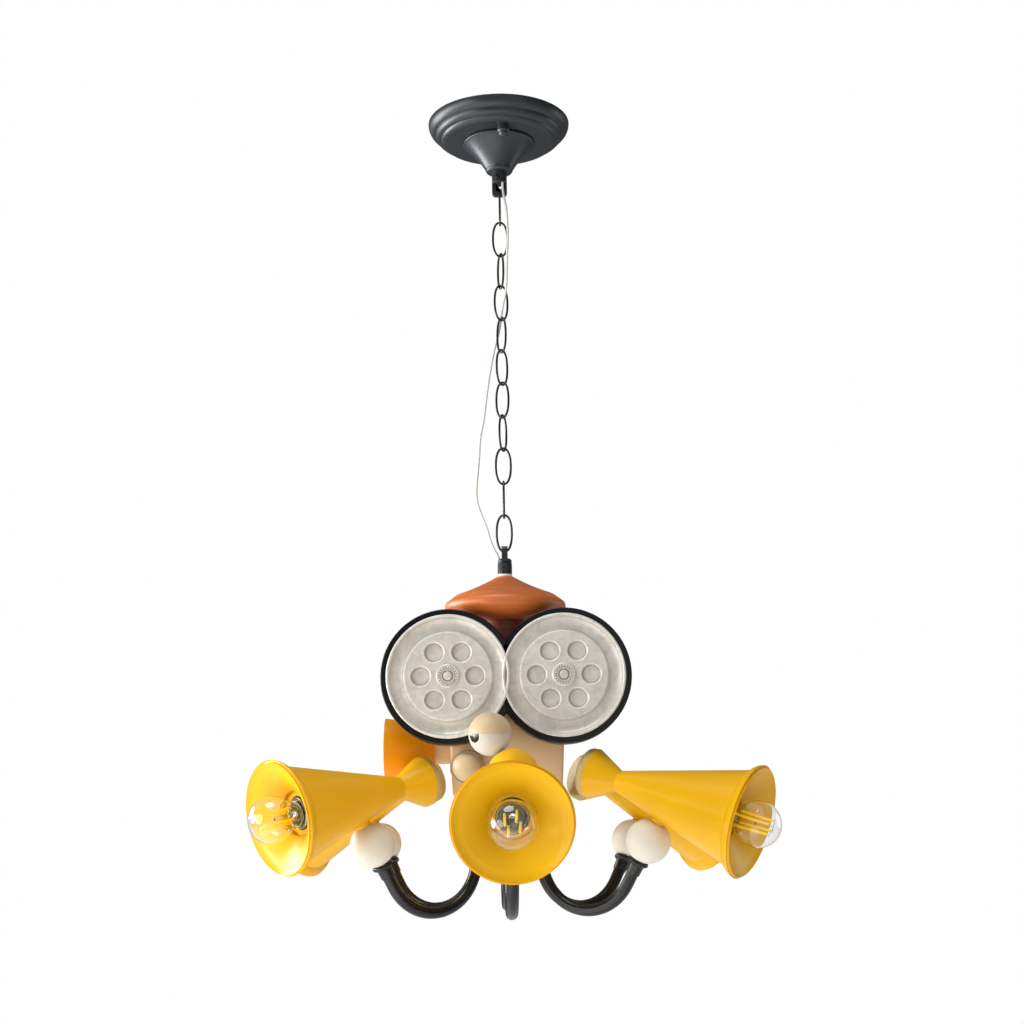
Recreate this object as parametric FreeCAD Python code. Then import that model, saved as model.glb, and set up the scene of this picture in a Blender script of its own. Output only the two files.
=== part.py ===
import FreeCAD
import Part
import math
import os
from FreeCAD import Vector

# Six-light pendant lamp with trumpet-shaped heads round a playful head block.
# Millimetres, Z up. The origin is on the ceiling, on the lamp's axis, and the front is at -Y.

# Clearances
hang_gap = 0.3
swivel_gap = 0.1
turning_gap = 0.3
slip_gap = 0.05
bolt_gap = 0.2

# Ceiling bar and its screws
bar_yaw = 6.5
bar_length = 112.0
bar_width = 20.0
bar_thickness = 2.5
bar_corner = 8.0
ceiling_screw_circle = 64.0
ceiling_screw_radius = 2.6
stud_spacing = 94.0
bar_stud_radius = 2.0
cap_nut_radius = 6.6
cap_nut_height = 13.0
cap_nut_skirt = 5.9
cap_nut_dome = 5.3
cap_nut_thread = 7.8

# Canopy
pan_radius = 78.8
pan_wall = 1.2
band_heights = (11.8, 6.5, 4.2)
band_steps = (7.6, 6.6, 6.0)
band_lip = 1.2
band_bulge = 0.14
cone_base_radius = 39.9
cone_bead = 1.6
cone_height = 35.5
cone_end_radius = 15.2
cone_end_round = 3.8
cone_end_bow = 0.95
cone_wall = 1.2
cone_hollow = 1.6

# Threaded tube, loops and collar that carry the chain
tube_radius = 5.0
tube_bore = 3.6
nut_across = 17.0
nut_height = 5.0
tube_top_length = 9.0
collar_radius = 8.3
loop_width = 16.6
loop_leg = 4.0
loop_depth = 6.4
collar_end_drop = 71.0
hanger_bar_drop = 83.2
hanger_bar_radius = 2.2
lower_bar_radius = 1.85
lower_loop_height = 17.2

# Chain
link_wire = 2.4
link_length = 41.9
link_width = 18.5
link_crown = 5.2
link_yaws = (90, 8, 112, 30, 125, 45, 145, 63, 5, 90, 0)

# Flex
flex_diameter = 2.6
flex_bend_share = 0.45
flex_top_points = (
    (3.4, -5.4, -71.0),
    (3.4, -5.4, -79.6),
    (5.2, -6.8, -90.6),
    (7.0, -8.0, -100.6),
)
flex_mid_points = (
    (7.3, -8.3, -102.6),
    (7.9, -9.0, -110.9),
    (8.7, -9.2, -134.3),
    (7.3, -9.0, -157.5),
    (6.2, -8.0, -197.5),
    (0.9, 1.6, -215.7),
    (-1.6, 8.6, -237.0),
    (-7.4, 12.0, -255.1),
    (-13.2, 9.6, -284.6),
    (-18.0, 8.2, -317.5),
    (-20.4, 8.0, -339.9),
    (-25.0, 8.3, -358.9),
    (-26.3, 8.0, -384.5),
    (-28.7, 7.0, -406.9),
    (-30.0, 6.0, -426.9),
    (-25.8, 5.0, -442.6),
    (-18.5, 3.0, -460.5),
    (-15.8, 1.8, -472.6),
)
flex_tail_points = (
    (-14.3, 1.4, -476.4),
    (-12.2, 0.9, -482.3),
    (-8.9, 0.3, -488.2),
    (-6.3, 0.0, -493.2),
    (-5.8, 0.0, -498.3),
)

# Terminal block
terminal_length = 26.0
terminal_width = 16.0
terminal_height = 12.0
terminal_lap = 4.0
terminal_bore = 1.6

# Coupling, washer, hat and its neck
coupling_radius = 7.65
coupling_height = 13.0
coupling_thread = 7.8
washer_radius = 7.9
washer_height = 2.3
hat_top_radius = 8.5
hat_shoulder_radius = 52.0
hat_shoulder_drop = 20.3
hat_radius = 63.8
hat_edge_drop = 32.5
hat_edge_height = 10.0
hat_edge_inset = 2.0
hat_height = 48.3
hat_base_radius = 40.0
hat_slope_hollow = 1.2
hat_shoulder_bow = 0.9
hat_under_bow = 2.2
hat_sink = 6.3
neck_radius = 26.0

# Head block
block_height = 127.0
block_top_width = 124.0
block_base_width = 111.0
block_front = 38.0
block_back = 57.0
block_round = 3.0

# Reels
reel_spacing = 117.0
reel_rise = 119.0
drum_radius = 68.7
drum_depth = 26.0
drum_round = 1.5
face_radius = 62.3
rim_width = 2.6
rim_height = 7.0
rim_round = 0.9
groove_hollow = 1.6
plateau_radius = 45.5
plateau_height = 5.4
plateau_round = 1.4
recess_circle = 27.5
recess_radius = 10.0
recess_depth = 2.6
recess_slope = 1.4
recess_count = 6
hub_cap_radius = 12.0
hub_cap_height = 1.8
hub_ring_radius = 8.6
hub_round = 0.9
hub_knob_radius = 4.5
hub_knob_height = 2.4
hub_knob_top = 2.7
hub_groove_depth = 0.7

# Eye
eye_x = -16.4
eye_rise = 59.2
eye_reach = 51.6
eye_radius = 21.3
eye_peg_radius = 4.0
lid_thickness = 0.9
lid_rise = 1.9
lid_tilt = 7.0
pupil_radius = 6.8
pupil_turn = 47.0
pupil_dip = 6.0
pupil_thickness = 0.6

# Nose
nose_x = -40.6
nose_rise = 28.8
nose_radius = 14.5
nose_reach = 17.0
dish_radius = 17.5
dish_height = 4.6
dish_lip = 2.4
dish_round = 1.0
dish_sink = 0.6

# Side horn and its peg
side_rise = 49.5
side_set_back = 4.0
side_neck_radius = 17.6
side_mouth_radius = 32.7
side_length = 51.0
side_reach = 126.5
side_wall = 1.5
side_hollow = 2.6
side_floor = 4.0
peg_radius = 15.0
peg_depth = 8.0

# Arm hub, arms, cups and balls
hub_radius = 48.0
hub_height = 16.0
hub_bevel = 2.0
arm_socket_depth = 8.0
arm_turn = 1.7
arm_count = 6
arm_radius = 6.0
arm_wall = 1.0
arm_foot_reach = 38.8
arm_bend = 50.0
arm_leg_length = 47.0
arm_lean = 30.0
arm_outer_length = 48.0
ball_radius = 21.9
ball_flat = 20.6
cup_flange_radius = 9.4
cup_flange_height = 4.2
cup_flange_round = 1.3
cup_hollow = 0.7
cup_length = 15.0
cup_neck_radius = 7.0
cup_step = 6.5
stud_into_arm = 18.0
swivel_nut_across = 14.0
swivel_nut_height = 4.0
stud_end = 1.0

# Heads: distances along a head are from the point over its ball, towards the mouth
head_names = ("f", "rf", "rb", "b", "lb", "lf")
head_pitches = (16, 17, 16, 16, 16, 12)
head_swivels = (-2, 0, 0, 0, 0, 9)
axis_height = 47.5
tail_at = -75.0
tail_radius = 25.4
waist_at = -45.5
waist_radius = 10.75
cone_at = 88.0
cone_radius = 48.0
mouth_at = 100.0
mouth_radius = 55.9
lip_radius = 1.6
lip_angle = 50.0
flare_bow = 0.1
bowl_hole_radius = 21.5
bowl_hole_at = 78.0
bowl_shoulder_radius = 44.5
bowl_shoulder_at = 94.5
well_step_at = 62.0
well_gap = 0.9
well_end = -12.0
land_depth = 6.3
nut_room = 0.6
nut_pocket = 8.5
bowl_hollow = 1.0
bowl_flare = 0.5
foot_radius = 8.5
end_cap_radius = 24.6
end_cap_thickness = 9.0
end_cap_rim = 3.6
end_cap_back_radius = 21.0
end_cap_round = 0.8
end_cap_socket = 6.8
holder_radius = 15.5
holder_length = 52.0
holder_mouth_at = 76.0
holder_shoulder = 7.0
holder_back_radius = 8.0
holder_back_step = 2.0
holder_bevel = 0.6
bulb_at = 105.0
bulb_radius = 22.5
bulb_wall = 0.8
bulb_neck_radius = 12.4
bulb_throat_radius = 13.9
bulb_cap_radius = 13.2
bulb_cap_length = 22.0
bulb_cap_gap = 0.4
bulb_contact_radius = 5.0
bulb_contact_length = 3.5
bulb_cap_bevel = 1.5
bulb_cap_edge = 2.0

# Levels down the lamp's axis, worked out from the sizes above
plate_level = -sum(band_heights)
cone_end_level = plate_level - cone_height
collar_end_level = -collar_end_drop
hanger_bar_level = -hanger_bar_drop
link_pitch = link_length - 2 * link_wire - hang_gap
first_link_level = hanger_bar_level + hanger_bar_radius + hang_gap + link_wire - link_length / 2
last_link_level = first_link_level - link_pitch * (len(link_yaws) - 1)
lower_bar_level = last_link_level - link_length / 2 + link_wire + hang_gap + lower_bar_radius
coupling_level = lower_bar_level + lower_bar_radius - lower_loop_height
washer_level = coupling_level - coupling_height
hat_level = washer_level - washer_height
hat_base_level = hat_level - hat_height
reel_level = hat_base_level + hat_sink - drum_radius
hub_level = reel_level - reel_rise
block_level = hub_level + block_height
neck_height = hat_base_level - block_level
eye_level = hub_level + eye_rise
nose_level = hub_level + nose_rise
side_level = hub_level + side_rise
bend_level = hub_level - hub_height - arm_leg_length
head_distance = arm_foot_reach + arm_bend
lean = math.radians(arm_lean)
ball_reach = (head_distance + arm_bend * math.cos(lean) + arm_outer_length * math.sin(lean))
ball_level = bend_level - arm_bend * math.sin(lean) + arm_outer_length * math.cos(lean)


def bow(start, end, rise):
    """The middle of an arc that stands off its chord by rise, to the left of the way."""
    across = end[0] - start[0]
    up = end[1] - start[1]
    length = math.hypot(across, up)
    middle = ((start[0] + end[0]) / 2 - rise * up / length, (start[1] + end[1]) / 2 + rise * across / length)
    return middle + ("arc",)


def outline(*stops):
    """A closed face in the XZ plane. A stop made by bow() is the middle of an arc."""
    edges = []
    here = stops[0]
    middle = None
    for stop in stops[1:] + stops[:1]:
        if len(stop) == 3:
            middle = stop
            continue
        first = Vector(here[0], 0, here[1])
        last = Vector(stop[0], 0, stop[1])
        if middle:
            edges.append(Part.Arc(first, Vector(middle[0], 0, middle[1]), last).toShape())
        else:
            edges.append(Part.makeLine(first, last))
        here = stop
        middle = None
    return Part.Face(Part.Wire(edges))


def turned(*stops):
    """A solid turned about Z from stops of radius and height."""
    return outline(*stops).revolve(Vector(), Vector(0, 0, 1), 360)


def bored(radius, bore, length, base, way=Vector(0, 0, 1)):
    """A straight tube."""
    outer = Part.makeCylinder(radius, length, base, way)
    return outer.cut(Part.makeCylinder(bore, length, base, way))


def hexagon(across, height, level):
    """A hexagonal bar that stands on level."""
    corner = across / math.sqrt(3)
    corners = [
        Vector(corner * math.cos(math.radians(60 * i)), corner * math.sin(math.radians(60 * i)), level)
        for i in range(7)
    ]
    return Part.Face(Part.makePolygon(corners)).extrude(Vector(0, 0, height))


def moved(shape, x=0.0, y=0.0, z=0.0):
    placed = shape.copy()
    placed.translate(Vector(x, y, z))
    return placed


def spun(shape, angle, axis=Vector(0, 0, 1), centre=Vector()):
    placed = shape.copy()
    placed.rotate(centre, axis, angle)
    return placed


def torus_arc(ring, wire, start, sweep):
    """Part of a ring in the XZ plane, round the origin, from start degrees above +X."""
    disc = Part.Face(Part.Wire(Part.makeCircle(wire, Vector(ring, 0, 0), Vector(0, 0, 1))))
    arc = disc.revolve(Vector(), Vector(0, -1, 0), sweep)
    return spun(arc, start, Vector(0, -1, 0))


def joined(shapes):
    return shapes[0].fuse(shapes[1:]).removeSplitter() if len(shapes) > 1 else shapes[0]


# Ceiling bar, canopy and hanger

def make_ceiling_bar():
    corner = Vector(-bar_width / 2, -bar_length / 2, -bar_thickness)
    bar = Part.makeBox(bar_width, bar_length, bar_thickness, corner)
    upright = [edge for edge in bar.Edges if edge.BoundBox.ZLength > bar_thickness / 2]
    bar = bar.makeFillet(bar_corner, upright)
    for side in (-1, 1):
        for place, radius in (
            (ceiling_screw_circle / 2, ceiling_screw_radius),
            (stud_spacing / 2, bar_stud_radius),
        ):
            bar = bar.cut(Part.makeCylinder(radius, bar_thickness, Vector(0, side * place, -bar_thickness)))
    return spun(bar, bar_yaw)


def make_bar_studs():
    length = cap_nut_thread - plate_level
    studs = [
        Part.makeCylinder(bar_stud_radius, length, Vector(0, side * stud_spacing / 2, -length))
        for side in (-1, 1)
    ]
    return spun(Part.makeCompound(studs), bar_yaw)


def make_cap_nuts():
    dome_level = cap_nut_dome - cap_nut_height
    slant = cap_nut_dome * math.sqrt(0.5)
    nut = turned(
        (bar_stud_radius, 0),
        (cap_nut_radius, 0),
        (cap_nut_radius, -cap_nut_skirt),
        (cap_nut_dome, dome_level),
        (slant, dome_level - slant, "arc"),
        (0, -cap_nut_height),
        (0, -cap_nut_thread),
        (bar_stud_radius, -cap_nut_thread),
    )
    nuts = [moved(nut, 0, side * stud_spacing / 2, plate_level) for side in (-1, 1)]
    return spun(Part.makeCompound(nuts), bar_yaw)


def make_canopy_pan():
    lips = (band_lip, band_lip, 0)
    outer = []
    radius = pan_radius
    level = 0
    for height, step, lip in zip(band_heights, band_steps, lips):
        high = (radius, level)
        radius -= step
        level -= height
        low = (radius + lip, level)
        rise = band_bulge * math.hypot(low[0] - high[0], height)
        outer += [high, bow(high, low, rise), low]
    inner = [
        (tube_radius + bolt_gap, plate_level),
        (tube_radius + bolt_gap, plate_level + pan_wall),
        (radius - pan_wall, plate_level + pan_wall),
        (pan_radius - pan_wall, 0),
    ]
    pan = turned(*(outer + inner))
    for side in (-1, 1):
        base = Vector(0, side * stud_spacing / 2, plate_level)
        hole = Part.makeCylinder(bar_stud_radius + bolt_gap, pan_wall, base)
        pan = pan.cut(spun(hole, bar_yaw))
    return pan


def make_canopy_cone():
    base = (cone_base_radius - cone_bead, plate_level - 2 * cone_bead)
    nose = (cone_end_radius, cone_end_level + cone_end_round)
    end = (cone_end_radius - cone_end_round, cone_end_level)
    inner_base = (base[0] - cone_wall, base[1])
    inner_nose = (nose[0] - cone_wall, nose[1])
    inner_end = (end[0] - cone_wall / 2, cone_end_level + cone_wall)
    bead_top = (cone_base_radius - cone_bead, plate_level)
    return turned(
        bead_top,
        bow(bead_top, base, cone_bead),
        base,
        bow(base, nose, -cone_hollow),
        nose,
        bow(nose, end, cone_end_bow),
        end,
        (tube_radius + bolt_gap, cone_end_level),
        (tube_radius + bolt_gap, cone_end_level + cone_wall),
        inner_end,
        bow(inner_end, inner_nose, -cone_end_bow),
        inner_nose,
        bow(inner_nose, inner_base, cone_hollow),
        inner_base,
        (inner_base[0], plate_level),
    )


def make_hanger_tube():
    top = plate_level + tube_top_length
    tube = bored(tube_radius, tube_bore, top - cone_end_level, Vector(0, 0, cone_end_level))
    nut = hexagon(nut_across, nut_height, plate_level + pan_wall)
    nut = nut.cut(Part.makeCylinder(tube_radius, nut_height, Vector(0, 0, plate_level + pan_wall)))
    return Part.makeCompound([tube, nut])


def stirrup(bar_radius, bar_level, base_level):
    """A loop in the XZ plane, with a round bar at bar_level and its legs' ends at base_level."""
    outer = loop_width / 2
    inner = outer - loop_leg
    low, high = sorted((bar_level, base_level))
    legs = [
        Part.makeBox(loop_leg, loop_depth, high - low, Vector(x, -loop_depth / 2, low))
        for x in (-outer, inner)
    ]
    bar = Part.makeCylinder(bar_radius, 2 * outer - 2, Vector(1 - outer, 0, bar_level), Vector(1, 0, 0))
    ends = [
        Part.makeCylinder(loop_depth / 2, loop_leg, Vector(x, 0, bar_level), Vector(1, 0, 0))
        for x in (-outer, inner)
    ]
    far = bar_level - bar_radius if bar_level < base_level else bar_level + bar_radius
    keep_low, keep_high = sorted((far, base_level))
    corner = Vector(-outer, -loop_depth / 2, keep_low)
    keep = Part.makeBox(2 * outer, loop_depth, keep_high - keep_low, corner)
    return joined(legs + [bar] + ends).common(keep)


def make_hanger_loop():
    height = cone_end_level - collar_end_level
    collar = Part.makeCylinder(collar_radius, height, Vector(0, 0, collar_end_level))
    loop = stirrup(hanger_bar_radius, hanger_bar_level, collar_end_level)
    return joined([collar, loop])


def make_terminal_block():
    block = Part.makeBox(terminal_length, terminal_width, terminal_height)
    block = moved(block, -terminal_length / 2, -terminal_width / 2, -bar_thickness - terminal_height)
    for i in (-1, 0, 1):
        hole = Part.makeCylinder(
            terminal_bore,
            terminal_width,
            Vector(i * terminal_length / 3, -terminal_width / 2, -bar_thickness - terminal_height * 0.6),
            Vector(0, 1, 0),
        )
        block = block.cut(hole)
    return spun(moved(block, (bar_width + terminal_length) / 2 - terminal_lap, 0, 0), bar_yaw)


# Chain

def make_link(level, yaw):
    half_length = (link_length - link_wire) / 2
    half_width = (link_width - link_wire) / 2
    crown_at = half_length - link_crown
    side = (half_width**2 + crown_at**2 - link_crown**2) / (2 * (half_width - link_crown))
    side_at = side - half_width
    turn = math.degrees(math.atan2(crown_at, side_at))
    crown = torus_arc(link_crown, link_wire / 2, turn, 180 - 2 * turn)
    flank = torus_arc(side, link_wire / 2, -turn, 2 * turn)
    pieces = [moved(crown, 0, 0, crown_at), moved(flank, -side_at, 0, 0)]
    pieces += [spun(piece, 180, Vector(0, 1, 0)) for piece in pieces]
    return moved(spun(joined(pieces), yaw), 0, 0, level)


def link_shape(i):
    return make_link(first_link_level - link_pitch * i, link_yaws[i])


# Flex

def make_flex(name, points):
    """Straight runs joined by tangent arcs, each as large as its two runs allow."""
    places = [Vector(*point) for point in points]
    edges = []
    radii = []
    here = places[0]
    for before, corner, after in zip(places, places[1:], places[2:]):
        way_in = (corner - before).normalize()
        way_out = (after - corner).normalize()
        half_turn = way_in.getAngle(way_out) / 2
        shorter = min((corner - before).Length, (after - corner).Length)
        back = flex_bend_share * shorter
        radius = back / math.tan(half_turn)
        radii.append(radius)
        first = corner - way_in * back
        last = corner + way_out * back
        inward = (way_out - way_in).normalize()
        middle = corner + inward * (radius / math.cos(half_turn) - radius)
        edges.append(Part.makeLine(here, first))
        edges.append(Part.Arc(first, middle, last).toShape())
        here = last
    edges.append(Part.makeLine(here, places[-1]))
    path = Part.Wire(edges)
    section = Part.Wire(Part.makeCircle(flex_diameter / 2, places[0], places[1] - places[0]))
    tube = path.makePipeShell([section], True, False)
    share = tube.Volume / (math.pi * flex_diameter**2 / 4 * path.Length)
    print(name, "radii", [round(radius) for radius in radii])
    print(name, "length", round(path.Length, 1), "volume share", round(share, 4))
    return tube


# Loop, coupling, washer, hat and neck

def make_lower_loop():
    loop = spun(stirrup(lower_bar_radius, lower_bar_level, coupling_level), 90)
    corner = Vector(-loop_depth / 2, -loop_width / 2, coupling_level)
    base = Part.makeBox(loop_depth, loop_width, loop_leg, corner)
    keep = Part.makeCylinder(loop_width / 2, lower_loop_height, Vector(0, 0, coupling_level))
    return loop.fuse(base).common(keep).removeSplitter()


def make_coupling():
    body = Part.makeCylinder(coupling_radius, coupling_height, Vector(0, 0, -coupling_height))
    socket = Part.makeCylinder(tube_radius, coupling_thread, Vector(0, 0, -coupling_height))
    return moved(body.cut(socket), 0, 0, coupling_level)


def make_washer():
    return bored(washer_radius, tube_radius, washer_height, Vector(0, 0, hat_level))


def make_hat():
    top = (hat_top_radius, 0)
    shoulder = (hat_shoulder_radius, -hat_shoulder_drop)
    edge_top = (hat_radius - hat_edge_inset, hat_edge_height / 2 - hat_edge_drop)
    widest = (hat_radius, -hat_edge_drop, "arc")
    edge_low = (hat_radius - hat_edge_inset, -hat_edge_height / 2 - hat_edge_drop)
    base = (hat_base_radius, -hat_height)
    hat = turned(
        (tube_radius + bolt_gap, 0),
        top,
        bow(top, shoulder, -hat_slope_hollow),
        shoulder,
        bow(shoulder, edge_top, hat_shoulder_bow),
        edge_top,
        widest,
        edge_low,
        bow(edge_low, base, hat_under_bow),
        base,
        (tube_radius + bolt_gap, -hat_height),
    )
    return moved(hat, 0, 0, hat_level)


def make_hat_neck():
    return bored(neck_radius, tube_radius + bolt_gap, neck_height, Vector(0, 0, block_level))


# Head block, reels and face

def block_side():
    """Half the block's width at the side horn's level."""
    spread = (block_top_width - block_base_width) * side_rise / block_height
    return (block_base_width + spread) / 2


def make_head_block():
    top = block_top_width / 2
    base = block_base_width / 2
    face = outline((-base, hub_level), (base, hub_level), (top, block_level), (-top, block_level))
    block = moved(face, 0, -block_front, 0).extrude(Vector(0, block_front + block_back, 0))
    block = block.makeFillet(block_round, block.Edges)
    bore = Part.makeCylinder(tube_radius + bolt_gap, block_height, Vector(0, 0, hub_level))
    side = block_side()
    start = Vector(peg_depth - side, side_set_back, side_level)
    peg = Part.makeCylinder(peg_radius + slip_gap, side, start, Vector(-1, 0, 0))
    return block.cut(bore).cut(peg)


def facing_front(shape, x, reach, level):
    """A shape turned about Z is laid so that its top faces the front, from reach in front of the axis."""
    return moved(spun(shape, 90, Vector(1, 0, 0)), x, -reach, level)


def at_both_reels(shape, reach):
    return [facing_front(shape, side * reel_spacing / 2, reach, reel_level) for side in (-1, 1)]


def make_reel_backs():
    drum = turned(
        (0, 0),
        (drum_radius - drum_round, 0),
        (drum_radius, drum_round),
        (drum_radius, drum_depth - drum_round),
        (drum_radius - drum_round, drum_depth),
        (0, drum_depth),
    )
    return joined(at_both_reels(drum, block_front))


def make_reel_faces():
    rim_top = (face_radius, rim_height - rim_round)
    rim_inner = (face_radius - rim_width, rim_height - rim_round)
    rim_foot = (face_radius - rim_width, rim_height - 2 * rim_round)
    plateau_foot = (plateau_radius + plateau_round / 2, plateau_height - plateau_round)
    plateau_edge = (plateau_radius - plateau_round / 2, plateau_height)
    relief = turned(
        (0, 0),
        (face_radius, 0),
        rim_top,
        bow(rim_top, rim_inner, rim_round),
        rim_inner,
        rim_foot,
        bow(rim_foot, plateau_foot, groove_hollow),
        plateau_foot,
        plateau_edge,
        (0, plateau_height),
    )
    recess = turned(
        (0, 0),
        (recess_radius - recess_slope, 0),
        (recess_radius, recess_depth),
        (0, recess_depth),
    )
    for i in range(recess_count):
        angle = math.radians(360 / recess_count * i)
        x = recess_circle * math.cos(angle)
        y = recess_circle * math.sin(angle)
        relief = relief.cut(moved(recess, x, y, plateau_height - recess_depth))
    return joined(at_both_reels(relief, block_front + drum_depth))


def make_reel_hub_caps():
    groove = hub_cap_height - hub_groove_depth
    cap = turned(
        (0, 0),
        (hub_cap_radius, 0),
        (hub_cap_radius, hub_cap_height - hub_round),
        (hub_cap_radius - hub_round, hub_cap_height),
        (hub_ring_radius, hub_cap_height),
        (hub_ring_radius, groove),
        (hub_knob_radius, groove),
        (hub_knob_radius, hub_cap_height),
        (hub_knob_top, hub_knob_height),
        (0, hub_knob_height),
    )
    return Part.makeCompound(at_both_reels(cap, block_front + drum_depth + plateau_height))


eye_centre = Vector(eye_x, -block_front - eye_reach, eye_level)


def lid_space():
    """The half space over the eyelid's edge, as a box."""
    size = 4 * eye_radius
    box = Part.makeBox(size, size, size, Vector(-size / 2, -size / 2, lid_rise))
    return moved(spun(box, lid_tilt, Vector(1, 0, 0)), eye_centre.x, eye_centre.y, eye_centre.z)


def eye_peg(radius):
    return Part.makeCylinder(radius, eye_reach, Vector(eye_x, -block_front, eye_level), Vector(0, -1, 0))


def make_eyeball():
    ball = Part.makeSphere(eye_radius, eye_centre)
    core = Part.makeSphere(eye_radius - lid_thickness, eye_centre)
    ball = ball.cut(lid_space()).fuse(core.common(lid_space()))
    return joined([ball, eye_peg(eye_peg_radius)])


def make_eyelid():
    outer = Part.makeSphere(eye_radius, eye_centre)
    lid = outer.cut(Part.makeSphere(eye_radius - lid_thickness, eye_centre)).common(lid_space())
    return lid.cut(eye_peg(eye_peg_radius + slip_gap))


def make_pupil():
    turn = math.radians(pupil_turn)
    dip = math.radians(pupil_dip)
    way = Vector(-math.sin(turn) * math.cos(dip), -math.cos(turn) * math.cos(dip), -math.sin(dip))
    disc = Part.makeCylinder(pupil_radius, 2 * eye_radius, eye_centre, way)
    outer = Part.makeSphere(eye_radius + pupil_thickness, eye_centre)
    skin = outer.cut(Part.makeSphere(eye_radius, eye_centre))
    return skin.common(disc).cut(lid_space())


def make_nose_dish():
    cup = nose_radius + slip_gap
    dish = turned(
        (0, 0),
        (dish_radius - dish_round, 0),
        (dish_radius, dish_round),
        (dish_radius, dish_height - dish_round),
        (dish_radius - dish_round, dish_height),
        (dish_radius - dish_lip, dish_height - dish_sink),
        (0, dish_height - dish_sink),
    )
    dish = dish.cut(Part.makeSphere(cup, Vector(0, 0, nose_reach)))
    return facing_front(dish, nose_x, block_front, nose_level)


def make_nose_ball():
    return Part.makeSphere(nose_radius, Vector(nose_x, -block_front - nose_reach, nose_level))


def make_side_horn():
    mouth = (side_mouth_radius, side_length)
    neck = (side_neck_radius, 0)
    inner_mouth = (side_mouth_radius - side_wall, side_length)
    inner_neck = (side_neck_radius - side_wall, side_floor)
    horn = turned(
        (0, 0),
        neck,
        bow(neck, mouth, -side_hollow),
        mouth,
        bow(mouth, inner_mouth, side_wall / 2),
        inner_mouth,
        bow(inner_mouth, inner_neck, side_hollow),
        inner_neck,
        (0, side_floor),
    )
    return moved(spun(horn, -90, Vector(0, 1, 0)), side_length - side_reach, side_set_back, side_level)


def make_horn_peg():
    inner = block_side() - peg_depth
    length = side_reach - side_length - inner
    start = Vector(-inner, side_set_back, side_level)
    return Part.makeCylinder(peg_radius, length, start, Vector(-1, 0, 0))


# Arms, cups, balls and studs, drawn in the XZ plane with the arm towards +X

def azimuth(i):
    return arm_turn - 90 + 360 / arm_count * i


def round_all(shape):
    return Part.makeCompound([spun(shape, azimuth(i)) for i in range(arm_count)])


def along_outer_leg(shape):
    """A shape turned about Z, with the ball's centre as its origin, is set on the outer leg's axis."""
    return moved(spun(shape, arm_lean, Vector(0, 1, 0)), ball_reach, 0, ball_level)


def make_arm_hub():
    hub = turned(
        (tube_radius + bolt_gap, 0),
        (hub_radius, 0),
        (hub_radius, hub_bevel - hub_height),
        (hub_radius - hub_bevel, -hub_height),
        (tube_radius + bolt_gap, -hub_height),
    )
    hub = moved(hub, 0, 0, hub_level)
    for i in range(arm_count):
        socket = Part.makeCylinder(
            arm_radius + slip_gap, arm_socket_depth, Vector(arm_foot_reach, 0, hub_level - hub_height)
        )
        hub = hub.cut(spun(socket, azimuth(i)))
    return hub


def make_tie_rod():
    top = coupling_level - coupling_height + coupling_thread
    nut_level = hub_level - hub_height - nut_height
    base = nut_level - stud_end
    rod = bored(tube_radius, tube_bore, top - base, Vector(0, 0, base))
    nut = hexagon(nut_across, nut_height, nut_level).cut(
        Part.makeCylinder(tube_radius, nut_height, Vector(0, 0, nut_level))
    )
    return Part.makeCompound([rod, nut])


def arm_bar(radius):
    """The arm's path as one solid bar of the given radius."""
    top = hub_level - hub_height + arm_socket_depth
    inner = Part.makeCylinder(radius, top - bend_level, Vector(arm_foot_reach, 0, bend_level))
    bend = moved(torus_arc(arm_bend, radius, 180, 180 - arm_lean), head_distance, 0, bend_level)
    start = Vector(head_distance + arm_bend * math.cos(lean), 0, bend_level - arm_bend * math.sin(lean))
    length = arm_outer_length - ball_flat - cup_step
    outer = Part.makeCylinder(radius, length, start, Vector(math.sin(lean), 0, math.cos(lean)))
    return joined([inner, bend, outer])


def make_arms():
    return round_all(arm_bar(arm_radius).cut(arm_bar(arm_radius - arm_wall)))


def make_arm_cups():
    top = -ball_flat
    low = top - cup_flange_height
    edge = cup_flange_radius - cup_flange_round
    cup = turned(
        (tube_radius + slip_gap, top),
        (edge, top),
        bow((edge, top), (edge, low), cup_flange_round),
        (edge, low),
        bow((edge, low), (cup_neck_radius, top - cup_length), -cup_hollow),
        (cup_neck_radius, top - cup_length),
        (arm_radius + slip_gap, top - cup_length),
        (arm_radius + slip_gap, top - cup_step),
        (tube_radius + slip_gap, top - cup_step),
    )
    return round_all(along_outer_leg(cup))


def make_wood_balls():
    ball = Part.makeSphere(ball_radius)
    size = 3 * ball_radius
    foot = Part.makeBox(size, size, ball_radius, Vector(-size / 2, -size / 2, -ball_flat - ball_radius))
    bore = Part.makeCylinder(tube_radius + slip_gap, 2 * size, Vector(0, 0, -size))
    return round_all(along_outer_leg(ball.cut(foot).cut(bore)))


def foot_distance():
    """From the ball's centre to the land inside the horn that the swivel nut faces."""
    slope = math.atan2(cone_radius - waist_radius, cone_at - waist_at)
    over_ball = waist_radius - waist_at * math.tan(slope)
    return (axis_height - over_ball) * math.cos(slope) + land_depth


def make_swivel_studs():
    low = -ball_flat - cup_step - stud_into_arm
    nut_level = foot_distance() + turning_gap
    top = nut_level + swivel_nut_height + stud_end
    stud = Part.makeCylinder(tube_radius, top - low, Vector(0, 0, low))
    nut = hexagon(swivel_nut_across, swivel_nut_height, nut_level)
    inner = Part.makeCylinder(arm_radius - arm_wall, stud_into_arm, Vector(0, 0, low))
    stud = joined([stud.common(inner.fuse(stud)), nut])
    return round_all(along_outer_leg(stud.cut(Part.makeCylinder(tube_bore, top - low, Vector(0, 0, low)))))


# Heads, turned about Z with the mouth at the top, then laid over their balls

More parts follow.
